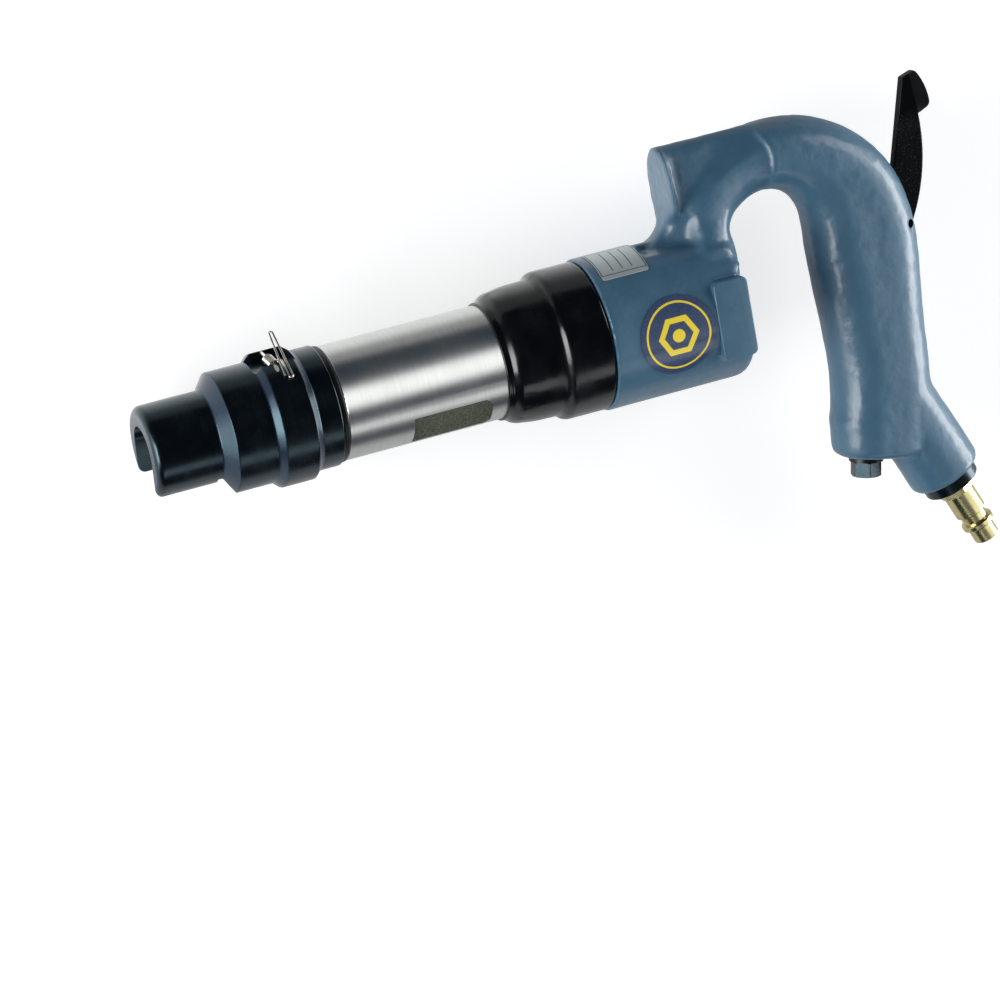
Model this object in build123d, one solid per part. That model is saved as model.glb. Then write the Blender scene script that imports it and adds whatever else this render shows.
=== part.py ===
from build123d import *
import math
import os

# Pneumatic chisel hammer, lying on its side. Millimetres.
# +X runs along the barrel from the nose to the handle, +Y to the handle's arch, +Z up out of the side.
# The origin is on the barrel axis, on the front face of the tool bushing.

# Retainer on the nose
SEAT_DEPTH = 46.0
NOSE_R = 17.8
NOSE_LEN = 25.8
NOSE_BORE_R = 10.4
CONE_LEN = 4.6
RETAINER_R = 23.6
SHANK_LEN = 15.5
STEP_LEN = 2.7
COLLAR_R = 26.15
COLLAR_LEN = 12.5
BAND_LEN = 8.6
SEAL_LEN = 2.4
SEAL_R = 22.8
CAVITY_R = 14.2
CAVITY_LEN = 22.0
SIDE_SLOT_ANGLE = -106.6
COLLAR_WINDOW_HALF = 13.5

# Latch on the retainer's collar
LATCH_ANGLE = 81.0
LATCH_X = 7.5
LATCH_R = 24.0
LATCH_SLOT_FLOOR = 21.4
LATCH_SLOT_WIDTH = 16.0
LATCH_SLOT_ROUND = 2.0
LATCH_SLOT_START = -0.6
LATCH_SLOT_LEN = 16.9
LATCH_PIN_R = 0.8
LATCH_WIRE = 0.8
LATCH_COIL_R = 1.9
LATCH_COIL_START = -0.25
LATCH_TURNS = 5.5
LATCH_PITCH = 1.36
LATCH_LEG_LEN = 1.6
LATCH_TOE_LEN = 1.7
LATCH_EXIT_LEN = 1.9
LATCH_RUN_R = 26.93
LATCH_RUN_START = 62.6
LATCH_RUN_END = 45.5
LATCH_LOOP_X = 10.45
LATCH_LOOP_ANGLE = 135.0
LATCH_LOOP_LEN = 20.2
LATCH_LOOP_R = 0.7
LATCH_LOOP_HALF = 1.4
LOCK_GROOVE_R = 18.6

# Barrel, bushing and piston
BARREL_R = 22.5
BARREL_SHOW = 64.6
BARREL_REAR = 163.0
FRONT_THREAD_R = 20.0
REAR_THREAD_R = 21.5
CYLINDER_R = 14.0
BUSHING_LEN = 52.0
BUSHING_R = 12.55
BUSHING_FLANGE_R = 17.0
BUSHING_FLANGE_LEN = 4.0
TOOL_BORE_R = 9.0
TOOL_BORE_LEN = 6.0
TOOL_HEX = 14.9
PISTON_LEN = 52.0
PISTON_FRONT = 62.0
FLAT_START = 55.0
FLAT_LEN = 32.0
FLAT_FROM_AXIS = 20.9
FLAT_ANGLE = -45.0
EXHAUST_X = 112.0
EXHAUST_R = 3.0

# Rubber sleeve over the exhaust
SLEEVE_LEN = 42.6
SLEEVE_NECK_R = 26.9
SLEEVE_R = 29.5
SLEEVE_STEP = 24.0
LOCK_RING_LEN = 8.8
LOCK_RING_R = 26.0
LOCK_NOTCHES = 12

# Cast body
BODY_R = 30.2
BODY_LEN = 57.4
BODY_EDGE = 5.0
BODY_BORE_DEPTH = 48.0
PAD_LEN = 14.2
PAD_HEIGHT = 31.2
PAD_RISE = 0.6
PAD_SHIFT = -0.8
BADGE_X = 161.85
BADGE_Y = -1.65
BADGE_R = 15.6
FOIL = 0.35
RATING_START = 3.6
RATING_LEN = 19.2
RATING_ROUND = 1.0
RATING_WIDTH = 22.0
RATING_ANGLE = 73.0

# Handle: arch between two circles, grip hanging from it
ARCH_HUB = (219.0, 17.0)
ARCH_OUTER = (223.7, 12.3)
ARCH_OUTER_R = 53.3
LOOP = (215.5, 22.5)
LOOP_R = 16.8
NECK_WIDTH = 26.0
NECK_THICK = 28.0
ARCH_THICK = 29.0
GRIP_THICK = 33.0
GRIP_END_THICK = 31.0
GRIP_TOP_FRONT = 232.3
GRIP_TOP_REAR = 277.0
LUG_FRONT = 175.5
LUG_TOP = 65.5
LUG_WIDTH = 27.6
LUG_PLATE = 3.0
LUG_WEB_WIDTH = 20.0

# Throttle valve in the grip, its axis leaning as the grip does
VALVE_FOOT = (242.5, -77.15)
VALVE_LEAN = 10.0
VALVE_BORE_R = 6.05
PASSAGE_R = 5.0
SEAT_AT = 42.0
SEAT_LEN = 5.0
POPPET_R = 5.3
POPPET_LEN = 5.8
ROD_R = 2.2
ROD_TOP = 96.3
GUIDE_AT = 74.2
GUIDE_LEN = 11.0
GUIDE_R = 5.0
CAP_HEX = 11.0
CAP_HEAD = 6.2
CAP_TURN = -9.0
CAP_SEAL_LEN = 1.9
CAP_THREAD = 10.0
SPRING_FOOT = 4.0
SPRING_WIRE = 0.9
SPRING_R = 3.3
SPRING_TURNS = 7
FIT = 0.05

# Lever
LEVER_PIVOT = (272.2, 13.2)
LEVER_THICK = 4.4
LEVER_PIN_R = 1.7
LEVER_PIN_LEN = 20.0
LEVER_SLOT = 5.4
LEVER_BOSS_R = 5.0
LEVER_EDGE = 0.5
HEAD_TAPER = 14.0
HEEL_R = 3.0
HEEL_GAP = 0.35

# Air inlet
INLET_END = (275.2, -92.8)
INLET_LEAN = 24.0
BOSS_R = 15.1
INLET_R = 6.0
BUSH_RING_R = 11.7
BUSH_RING_LEN = 5.3
BUSH_SPIGOT_R = 9.0
BUSH_SPIGOT_LEN = 16.0
PLUG_THREAD_R = 6.5
PLUG_HEX = 15.0
PLUG_BORE_R = 3.6
PLUG_BODY_R = 6.45
PLUG_GROOVE_R = 5.3
PLUG_BEAD_R = 6.75
PLUG_TIP_R = 5.3
PLUG_TIP_END = 33.7
PLUG_EDGE = 0.5
HEX_CHAMFER = 0.5

# Stations along the barrel, worked out from the lengths above
X_NOSE = -SEAT_DEPTH
X_CONE = X_NOSE + NOSE_LEN
X_SHANK = X_CONE + CONE_LEN
X_STEP = X_SHANK + SHANK_LEN
X_COLLAR = X_STEP + STEP_LEN
X_CHAMFER = X_COLLAR + COLLAR_LEN
X_BAND = X_CHAMFER + STEP_LEN
X_SEAL = X_BAND + BAND_LEN
X_BARREL = X_SEAL + SEAL_LEN
X_SLEEVE = X_BARREL + BARREL_SHOW
X_BODY = X_SLEEVE + SLEEVE_LEN
X_BACK = X_BODY + BODY_LEN

# Axes of the throttle valve and of the inlet: local Z runs up the valve and out of the inlet
VALVE_UP = (math.sin(math.radians(VALVE_LEAN)), math.cos(math.radians(VALVE_LEAN)), 0)
VALVE = Plane(origin=(*VALVE_FOOT, 0), x_dir=(0, 0, 1), z_dir=VALVE_UP)
INLET_OUT = (math.sin(math.radians(INLET_LEAN)), -math.cos(math.radians(INLET_LEAN)), 0)
INLET = Plane(origin=(*INLET_END, 0), x_dir=(0, 0, 1), z_dir=INLET_OUT)

ON_END = (Align.CENTER, Align.CENTER, Align.MIN)


def turned(profile, rounds=()):
    """Solid turned about the barrel axis; rounds gives (corner number, radius)."""
    face = make_face(Polyline(*profile, close=True))
    for number, radius in rounds:
        corner = face.vertices().sort_by_distance((*profile[number], 0))[0]
        face = fillet(corner, radius)
    return revolve(face, Axis.X)


def rod_x(radius, start, end):
    """Cylinder along the barrel axis."""
    return Pos(start, 0, 0) * Rot(0, 90, 0) * Cylinder(radius, end - start, align=ON_END)


def tube_x(outer, inner, start, end):
    return rod_x(outer, start, end) - rod_x(inner, start - 1, end + 1)


def rod_on(plane, radius, start, end):
    """Cylinder along a plane's normal."""
    return plane * Pos(0, 0, start) * Cylinder(radius, end - start, align=ON_END)


def hex_on(plane, across_flats, start, end):
    """Hexagonal prism along a plane's normal."""
    sketch = RegularPolygon(across_flats / 2, 6, major_radius=False)
    return plane * Pos(0, 0, start) * extrude(sketch, end - start)


def hex_head(plane, across_flats, start, end):
    """Hexagon with its corners turned off at both ends."""
    blank = chamfer(rod_on(plane, across_flats * 0.57, start, end).edges(), HEX_CHAMFER, HEX_CHAMFER * 1.6)
    return hex_on(plane, across_flats, start, end) & blank


def radial(angle):
    """Unit vector away from the barrel axis; angle counts from +Z towards +Y."""
    return Vector(0, math.sin(math.radians(angle)), math.cos(math.radians(angle)))


def side_box(angle, start, end, near, far, half_width):
    """Box along X that reaches from near to far in one direction away from the axis."""
    plane = Plane(origin=(start, 0, 0), x_dir=(1, 0, 0), z_dir=radial(angle))
    size = (end - start, 2 * half_width, far - near)
    return plane * Pos(0, 0, near) * Box(*size, align=(Align.MIN, Align.CENTER, Align.MIN))


def biarc(start, start_dir, end, end_dir):
    """Two arcs that leave start along start_dir and reach end along end_dir."""
    chord = end - start
    both = start_dir + end_dir
    bend = 2 * (1 - start_dir.dot(end_dir))
    reach = (math.sqrt(chord.dot(both) ** 2 + bend * chord.dot(chord)) - chord.dot(both)) / bend
    first = start + start_dir * reach
    second = end - end_dir * reach
    middle = (first + second) * 0.5
    return [
        TangentArc(start, middle, tangent=start_dir),
        TangentArc(middle, end, tangent=second - first),
    ]


def coil_edges(centre, across, up, axis, radius, pitch, start_angle, end_angle):
    """Coil of quarter turns; angles in degrees count from across towards up, the pitch is along axis."""
    sense = 1 if end_angle > start_angle else -1
    quarters = max(1, round(abs(end_angle - start_angle) / 90))
    edges = []
    points = []
    for index in range(quarters + 1):
        angle = start_angle + (end_angle - start_angle) * index / quarters
        turn = math.radians(angle)
        rise = pitch * abs(angle - start_angle) / 360
        point = centre + (across * math.cos(turn) + up * math.sin(turn)) * radius + axis * rise
        forward = (up * math.cos(turn) - across * math.sin(turn)) * (sense * radius)
        forward = (forward + axis * (pitch / (2 * math.pi))).normalized()
        if points:
            edges += biarc(points[-1][0], points[-1][1], point, forward)
        points.append((point, forward))
    return edges, points[0], points[-1]


def wire_solid(edges, diameter):
    """Round wire along a chain of edges."""
    path = Wire(edges)
    start = Plane(origin=path @ 0, z_dir=path % 0)
    return sweep(start * Circle(diameter / 2), path=path)


def print_wire_gap(name, edges, diameter):
    """Least gap of a coil to itself, measured on points along it."""
    path = Wire(edges)
    count = max(80, int(path.length / 0.25))
    points = [path @ (index / count) for index in range(count + 1)]
    step = path.length / count
    apart = int(2.6 * diameter / step) + 1
    least = min(
        (points[i] - points[j]).length
        for i in range(count + 1)
        for j in range(i + apart, count + 1)
    )
    print(name, "least gap to itself", round(least - diameter, 2), "mm, wire length", round(path.length, 1))


def retainer():
    profile = [
        (X_NOSE, NOSE_BORE_R),
        (X_NOSE, NOSE_R),
        (X_CONE, NOSE_R),
        (X_SHANK, RETAINER_R),
        (X_STEP, RETAINER_R),
        (X_COLLAR, COLLAR_R),
        (X_CHAMFER, COLLAR_R),
        (X_BAND, RETAINER_R),
        (X_SEAL, RETAINER_R),
        (X_SEAL, FRONT_THREAD_R + FIT),
        (BUSHING_FLANGE_LEN, FRONT_THREAD_R + FIT),
        (BUSHING_FLANGE_LEN, BUSHING_FLANGE_R + 0.2),
        (-0.2, BUSHING_FLANGE_R + 0.2),
        (-0.2, CAVITY_R),
        (-CAVITY_LEN, CAVITY_R),
        (-CAVITY_LEN, NOSE_BORE_R),
    ]
    body = turned(profile, [(1, 3.0), (2, 1.2), (3, 0.8), (4, 1.6), (5, 1.2), (6, 0.8), (7, 1.0), (8, 0.6)])
    body -= side_box(SIDE_SLOT_ANGLE, X_NOSE - 1, -CAVITY_LEN + 0.1, 0, 40, NOSE_BORE_R)
    body -= side_box(SIDE_SLOT_ANGLE, -CAVITY_LEN, -2.0, 0, 40, COLLAR_WINDOW_HALF)
    body -= latch_slot()
    body -= side_box(LATCH_ANGLE, 6.2, 13.0, FRONT_THREAD_R - 2, LATCH_SLOT_FLOOR + 1, 3.0)
    body -= latch_pin_rod(LATCH_PIN_R + FIT)
    return body


def latch_slot():
    """Slot with round ends, milled lengthwise into the collar."""
    middle = LATCH_SLOT_START + LATCH_SLOT_LEN / 2
    plane = Plane(origin=(middle, 0, 0), x_dir=(1, 0, 0), z_dir=radial(LATCH_ANGLE))
    face = RectangleRounded(LATCH_SLOT_LEN, LATCH_SLOT_WIDTH, LATCH_SLOT_ROUND)
    return plane * Pos(0, 0, LATCH_SLOT_FLOOR) * extrude(face, 20)


def latch_pin_rod(radius):
    """Straight rod along the latch's hinge line, right through the collar."""
    centre = radial(LATCH_ANGLE) * LATCH_R + Vector(LATCH_X, 0, 0)
    plane = Plane(origin=centre, x_dir=(1, 0, 0), z_dir=radial(LATCH_ANGLE + 90))
    return plane * Cylinder(radius, 2 * COLLAR_R)


def latch_pin():
    """Pin with both ends ground flush with the collar."""
    return latch_pin_rod(LATCH_PIN_R) & rod_x(COLLAR_R - FIT, LATCH_X - 5, LATCH_X + 5)


def latch_spring():
    """One wire: toe, coil on its pin, run down the collar, and hairpin that stands off over the slot."""
    across = Vector(1, 0, 0)
    up = radial(LATCH_ANGLE)
    axis = radial(LATCH_ANGLE - 90)
    centre = up * LATCH_R + across * LATCH_X + axis * LATCH_COIL_START
    coil, first, last = coil_edges(
        centre, across, up, axis, LATCH_COIL_R, LATCH_PITCH, -90, -90 - 360 * LATCH_TURNS
    )
    leg_end = first[0] - first[1] * LATCH_LEG_LEN
    toe_top = leg_end - (first[1] + up) * LATCH_WIRE
    run = latch_run(across)
    exit_end = last[0] + last[1] * LATCH_EXIT_LEN
    edges = [Line(toe_top - up * LATCH_TOE_LEN, toe_top), TangentArc(toe_top, leg_end, tangent=up)]
    edges += [Line(leg_end, first[0])]
    edges += coil
    edges += [Line(last[0], exit_end)]
    edges += biarc(exit_end, last[1], run @ 0, run % 0)
    edges += [run]
    edges += latch_hairpin(run, across)
    print_wire_gap("latch_spring", edges, LATCH_WIRE)
    return wire_solid(edges, LATCH_WIRE)


def latch_run(across):
    """Part of the wire that lies on the collar, from the slot down to the hairpin's foot."""
    angles = [LATCH_RUN_START, (LATCH_RUN_START + LATCH_RUN_END) / 2, LATCH_RUN_END]
    return ThreePointArc(*[radial(angle) * LATCH_RUN_R + across * LATCH_LOOP_X for angle in angles])


def latch_hairpin(run, across):
    """Turn at the foot and two legs that close in towards the crown."""
    rise = radial(LATCH_LOOP_ANGLE)
    lean = math.asin((LATCH_LOOP_HALF - LATCH_LOOP_R) / LATCH_LOOP_LEN)
    inward = across * math.sin(lean)
    foot = radial(LATCH_RUN_END) * LATCH_RUN_R + across * (LATCH_LOOP_X + LATCH_LOOP_HALF)
    leg = rise * math.cos(lean) - inward
    top = foot + leg * LATCH_LOOP_LEN
    hub = top - (across * math.cos(lean) + rise * math.sin(lean)) * LATCH_LOOP_R
    far_top = hub + (rise * math.sin(lean) - across * math.cos(lean)) * LATCH_LOOP_R
    far_foot = far_top - (rise * math.cos(lean) + inward) * (LATCH_LOOP_LEN - 0.3)
    edges = biarc(run @ 1, run % 1, foot, leg)
    edges += [Line(foot, top), ThreePointArc(top, hub + rise * LATCH_LOOP_R, far_top)]
    return edges + [Line(far_top, far_foot)]


def wrench_flat(angle):
    """Cutter for a flat with a square front end and a rounded rear end."""
    middle = FLAT_START + FLAT_LEN / 2
    plane = Plane(origin=(middle, 0, 0), x_dir=(1, 0, 0), z_dir=radial(angle))
    width = 2 * math.sqrt(BARREL_R ** 2 - FLAT_FROM_AXIS ** 2) + 0.2
    face = RectangleRounded(FLAT_LEN, width, 4.5)
    face += Pos(-FLAT_LEN / 4, 0) * Rectangle(FLAT_LEN / 2, width)
    return plane * Pos(0, 0, FLAT_FROM_AXIS) * extrude(face, 10)


def barrel():
    profile = [
        (BUSHING_FLANGE_LEN, BUSHING_R + FIT),
        (BUSHING_FLANGE_LEN, FRONT_THREAD_R),
        (X_BARREL, FRONT_THREAD_R),
        (X_BARREL, BARREL_R),
        (X_BODY, BARREL_R),
        (X_BODY, REAR_THREAD_R),
        (BARREL_REAR, REAR_THREAD_R),
        (BARREL_REAR, CYLINDER_R),
        (BUSHING_LEN, CYLINDER_R),
        (BUSHING_LEN, BUSHING_R + FIT),
    ]
    body = turned(profile, [(3, 0.5)])
    body -= tube_x(FRONT_THREAD_R + 1, LOCK_GROOVE_R, BUSHING_FLANGE_LEN + 0.5, BUSHING_FLANGE_LEN + 7.5)
    for angle in (FLAT_ANGLE, FLAT_ANGLE + 180):
        body -= wrench_flat(angle)
    for index in range(4):
        port = Plane(origin=(EXHAUST_X, 0, 0), x_dir=(1, 0, 0), z_dir=radial(90 * index))
        body -= rod_on(port, EXHAUST_R, CYLINDER_R - 1, BARREL_R + 1)
    body -= dowel_pins(1.5 + FIT)
    return body


def tool_bushing():
    body = rod_x(BUSHING_FLANGE_R, 0, BUSHING_FLANGE_LEN - FIT)
    body += rod_x(BUSHING_R, 0, BUSHING_LEN - FIT)
    body -= rod_x(TOOL_BORE_R, -1, TOOL_BORE_LEN)
    along = Plane(origin=(0, 0, 0), x_dir=(0, 0, 1), z_dir=(1, 0, 0))
    return body - hex_on(along, TOOL_HEX, -1, BUSHING_LEN + 1)


def retainer_buffer():
    """Rubber ring, open to the side as the retainer is."""
    body = tube_x(CAVITY_R - 0.1, NOSE_BORE_R + 0.2, -CAVITY_LEN + FIT, -CAVITY_LEN + 5)
    return body - side_box(SIDE_SLOT_ANGLE, -CAVITY_LEN - 1, 0, 0, 40, NOSE_BORE_R)


def piston():
    rear = PISTON_FRONT + PISTON_LEN
    body = chamfer(rod_x(CYLINDER_R - FIT, PISTON_FRONT, rear).edges(), 1.5)
    for place in (PISTON_FRONT + 8, PISTON_FRONT + 13, rear - 13, rear - 8):
        body -= tube_x(CYLINDER_R + 1, CYLINDER_R - 0.8, place, place + 1.2)
    return body


def barrel_lock_ring():
    start = X_BODY - LOCK_RING_LEN
    body = tube_x(LOCK_RING_R, BARREL_R + FIT, start, X_BODY - FIT)
    for index in range(LOCK_NOTCHES):
        angle = 360 * index / LOCK_NOTCHES
        body -= side_box(angle, start - 1, start + 4, LOCK_RING_R - 1.6, LOCK_RING_R + 2, 1.8)
    return body


def exhaust_sleeve():
    start = X_SLEEVE
    step = X_SLEEVE + SLEEVE_STEP
    ring = X_BODY - LOCK_RING_LEN - 0.3
    profile = [
        (start, BARREL_R + FIT),
        (start, BARREL_R + 0.9),
        (start + 2.2, BARREL_R + 1.0),
        (start + 7.0, SLEEVE_NECK_R - 1.1),
        (start + 14.0, SLEEVE_NECK_R),
        (step - 1.6, SLEEVE_NECK_R + 0.3),
        (step + 1.6, SLEEVE_R),
        (X_BODY - 0.15, SLEEVE_R),
        (X_BODY - 0.15, LOCK_RING_R + 0.1),
        (ring, LOCK_RING_R + 0.1),
        (ring, BARREL_R + 1.6),
        (start + 9.0, BARREL_R + 1.6),
        (start + 7.0, BARREL_R + FIT),
    ]
    return turned(profile, [(1, 0.4), (2, 4.0), (3, 6.0), (4, 10.0), (5, 2.0), (6, 2.0), (7, 0.8)])


def retainer_seal():
    start = X_SEAL + FIT
    end = X_BARREL - FIT
    inner = FRONT_THREAD_R + FIT
    return turned([(start, inner), (start, SEAL_R), (end, SEAL_R), (end, inner)], [(1, 0.6), (2, 0.6)])


def hit(centre, radius, angle):
    """Distance from the arch's hub to a circle, along a direction in degrees."""
    turn = math.radians(angle)
    away = (ARCH_HUB[0] - centre[0], ARCH_HUB[1] - centre[1])
    half = away[0] * math.cos(turn) + away[1] * math.sin(turn)
    return -half + math.sqrt(half * half - away[0] ** 2 - away[1] ** 2 + radius * radius)


def section(middle, heading, width, thick):
    """Rounded section across the handle's centre line; heading is the line's direction in degrees."""
    turn = math.radians(heading)
    plane = Plane(
        origin=(*middle, 0),
        x_dir=(-math.sin(turn), math.cos(turn), 0),
        z_dir=(math.cos(turn), math.sin(turn), 0),
    )
    return plane * RectangleRounded(width, thick, 0.47 * min(width, thick))


def handle_sections():
    """Sections from inside the body, up the neck, over the arch and down the grip."""
    sections = []
    neck_mid = LOOP[0] - LOOP_R - NECK_WIDTH / 2
    sections.append(section((neck_mid, 8), 90, NECK_WIDTH, NECK_THICK))
    sections.append(section((neck_mid, LOOP[1]), 90, NECK_WIDTH, NECK_THICK))
    bend = LOOP_R + NECK_WIDTH / 2
    slant = math.radians(135)
    mid = (LOOP[0] + bend * math.cos(slant), LOOP[1] + bend * math.sin(slant))
    sections.append(section(mid, 45, NECK_WIDTH, NECK_THICK))
    for angle in (90, 67.5, 45, 22.5):
        turn = math.radians(angle)
        inner = hit(LOOP, LOOP_R, angle)
        outer = hit(ARCH_OUTER, ARCH_OUTER_R, angle)
        reach = (inner + outer) / 2
        mid = (ARCH_HUB[0] + reach * math.cos(turn), ARCH_HUB[1] + reach * math.sin(turn))
        thick = ARCH_THICK + (GRIP_THICK - ARCH_THICK) * (90 - angle) / 90
        sections.append(section(mid, angle - 90, outer - inner, thick))
    grip = [
        (12, GRIP_TOP_FRONT, GRIP_TOP_REAR, -88, GRIP_THICK),
        (-20, 233.6, 275.0, -93, GRIP_THICK),
        (-56, 232.4, 272.8, -95, GRIP_END_THICK + 1),
        (-77.7, 230.0, 267.0, -100, GRIP_END_THICK),
    ]
    for level, front, rear, heading, thick in grip:
        sections.append(section(((front + rear) / 2, level), heading, rear - front, thick))
    return sections


def lever_pocket():
    """Slot for the lever in the back of the arch, with room for its heel."""
    outline = [(262.4, 75), (262.4, 27), (253, 25.5), (253, 8.2), (283, 7.0), (300, 20), (300, 75)]
    return Pos(0, 0, -LEVER_SLOT / 2) * extrude(make_face(Polyline(*outline, close=True)), LEVER_SLOT)


def air_passage():
    """Bore from the throttle valve over the arch to the valve box."""
    corners = [(251.4, -27), (243.5, 18), (232, 47), (205, 53.5), (183, 45), (181, 19)]
    path = FilletPolyline(*corners, radius=9)
    start = Plane(origin=path @ 0, z_dir=path % 0)
    return sweep(start * Circle(PASSAGE_R), path=path)


def lug():
    """Upright front of the neck: an oval plate, a thinner web behind it and a flared foot."""
    foot = 12.0
    height = LUG_TOP - foot
    upright = Plane(origin=(LUG_FRONT, foot, 0), x_dir=(0, 0, 1), z_dir=(1, 0, 0))
    plate_face = RectangleRounded(LUG_WIDTH, 2 * height, LUG_WIDTH * 0.48)
    web_face = RectangleRounded(LUG_WEB_WIDTH, 2 * height, LUG_WEB_WIDTH * 0.45)
    plate = upright * extrude(plate_face, LUG_PLATE)
    plate = fillet(plate.faces().sort_by(Axis.X)[0].edges(), 2.0)
    web = upright * extrude(web_face, 50)
    above = Pos(LUG_FRONT + 20, foot + 50, 0) * Box(80, 100, 80)
    side = [(LUG_FRONT, foot), (LUG_FRONT, 70), (222, 70), (217, 50), (194, 42), (185, 22), (185, foot)]
    web &= Pos(0, 0, -20) * extrude(make_face(Polyline(*side, close=True)), 40)
    flare = [(164.5, 28.6), (169, 31), (172.6, 35), (175, 41), (178, 41), (188, 34), (188, 18), (164.5, 18)]
    base = Pos(0, 0, -LUG_WIDTH / 2) * extrude(make_face(Polyline(*flare, close=True)), LUG_WIDTH)
    rims = [face.edges() for face in base.faces().filter_by(Axis.Z)]
    slope = [edge for rim in rims for edge in rim if (edge @ 0.5).X < LUG_FRONT and (edge @ 0.5).Y > 29.5]
    return (plate & above) + web + fillet(slope, 3.0)


def handle_casting():
    body = turned(
        [(X_BODY, 0), (X_BODY, BODY_R), (X_BACK, BODY_R), (X_BACK, 0)],
        [(1, 1.0), (2, BODY_EDGE)],
    )
    handle = loft(handle_sections())
    body += fillet(handle.faces().sort_by(Axis.Y)[0].edges(), 3.0)
    body += lug()
    boss = rod_on(INLET, BOSS_R, -38, 0)
    body += fillet(boss.edges().sort_by_distance((*INLET_END, 0))[0], 2.0)
    pad = Box(PAD_LEN, PAD_HEIGHT, 2 * (BODY_R + PAD_RISE))
    pad = Pos(X_BACK - PAD_LEN / 2 - 0.35, PAD_SHIFT, 0) * fillet(pad.edges().filter_by(Axis.Z), 2.5)
    body += pad
    body -= rod_x(REAR_THREAD_R + FIT, X_BODY - 1, X_BODY + BODY_BORE_DEPTH)
    body -= rod_on(VALVE, VALVE_BORE_R, -12, SEAT_AT + SEAT_LEN)
    body -= rod_on(VALVE, PASSAGE_R, SEAT_AT, GUIDE_AT)
    body -= rod_on(VALVE, GUIDE_R + FIT, GUIDE_AT - 3, GUIDE_AT + GUIDE_LEN + 4)
    body -= rod_on(INLET, INLET_R, -55, 1)
    body -= rod_on(INLET, BUSH_SPIGOT_R + FIT, -BUSH_SPIGOT_LEN - 0.2, 1)
    body -= air_passage()
    body -= lever_pocket()
    body -= Pos(*LEVER_PIVOT, 0) * Cylinder(LEVER_PIN_R + FIT, 60)
    return body


def on_body(cutter):
    """Thin foil on the body's round side, cut to a shape."""
    skin = tube_x(BODY_R + FIT + FOIL, BODY_R + FIT, X_BODY + 0.8, X_BACK - 8)
    return skin & cutter


def badge_plate():
    return on_body(Pos(BADGE_X, BADGE_Y, 0) * Cylinder(BADGE_R, 60, align=ON_END))


def rating_plate():
    start = X_BODY + RATING_START
    cutter = side_box(RATING_ANGLE, start, start + RATING_LEN, 5, 45, RATING_WIDTH / 2)
    return on_body(fillet([edge for edge in cutter.edges() if edge.length > 30], RATING_ROUND))


def dowel_pins(radius):
    pins = [Pos(0, side * 18.0, 0) * rod_x(radius, BARREL_REAR - 4, BARREL_REAR + 9) for side in (-1, 1)]
    return Compound(pins) if radius == 1.5 else pins[0] + pins[1]


def valve_front_plate():
    body = rod_x(REAR_THREAD_R - 0.1, BARREL_REAR + FIT, BARREL_REAR + 4)
    body -= rod_x(6, BARREL_REAR - 1, BARREL_REAR + 5)
    for index in range(6):
        hole = radial(60 * index + 30) * 11
        body -= Pos(0, hole.Y, hole.Z) * rod_x(1.6, BARREL_REAR - 1, BARREL_REAR + 5)
    return body - dowel_pins(1.5 + FIT)


def valve_box():
    front = BARREL_REAR + 4 + FIT
    rear = X_BODY + BODY_BORE_DEPTH - 0.1
    body = rod_x(REAR_THREAD_R - 0.1, front, rear)
    body -= rod_x(10.05, front - 1, front + 9)
    body -= rod_x(6.05, front, rear + 1)
    body -= tube_x(REAR_THREAD_R + 1, 17.5, rear - 6.5, rear - 1.5)
    body -= tube_x(REAR_THREAD_R + 1, 19.6, front + 4, front + 6.2)
    for index in range(4):
        port = Plane(origin=(rear - 4, 0, 0), x_dir=(1, 0, 0), z_dir=radial(90 * index + 45))
        body -= rod_on(port, 1.8, 4, 22)
    return body - dowel_pins(1.5 + FIT)


def valve_box_seal():
    front = BARREL_REAR + 4 + FIT
    return tube_x(REAR_THREAD_R - 0.05, 19.65, front + 4.05, front + 6.15)


def distribution_valve():
    front = BARREL_REAR + 4.4
    body = rod_x(10.0, front, front + 4) + rod_x(6.0, front, front + 9)
    return body - rod_x(3.2, front - 1, front + 10)


def valve_cap():
    under = -CAP_SEAL_LEN - 2 * FIT
    body = hex_head(VALVE * Rot(0, 0, CAP_TURN), CAP_HEX, under - CAP_HEAD, under)
    body += rod_on(VALVE, VALVE_BORE_R - FIT, under - 0.1, CAP_THREAD)
    return body - rod_on(VALVE, SPRING_R + 1.0, SPRING_FOOT, CAP_THREAD + 1)


def cap_seal():
    return rod_on(VALVE, 6.9, -CAP_SEAL_LEN - FIT, -FIT) - rod_on(VALVE, VALVE_BORE_R + 0.02, -5, 1)


def valve_seat():
    body = rod_on(VALVE, VALVE_BORE_R - FIT, SEAT_AT, SEAT_AT + SEAT_LEN - FIT)
    return body - rod_on(VALVE, 3.6, SEAT_AT - 1, SEAT_AT + SEAT_LEN + 1)


def throttle_poppet():
    bottom = SEAT_AT - 0.15 - POPPET_LEN
    body = rod_on(VALVE, POPPET_R, bottom, bottom + POPPET_LEN)
    body = chamfer(body.edges(), 0.8)
    return body - rod_on(VALVE, ROD_R, bottom + 1, bottom + POPPET_LEN + 1)


def push_rod():
    bottom = SEAT_AT - 0.15 - POPPET_LEN + 1.02
    body = rod_on(VALVE, ROD_R - 0.02, bottom, ROD_TOP)
    return fillet(body.edges().sort_by(Axis.Y)[-1], 0.6)


def rod_guide():
    body = rod_on(VALVE, GUIDE_R, GUIDE_AT, GUIDE_AT + GUIDE_LEN)
    return body - rod_on(VALVE, ROD_R + 0.04, GUIDE_AT - 1, GUIDE_AT + GUIDE_LEN + 1)


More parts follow.
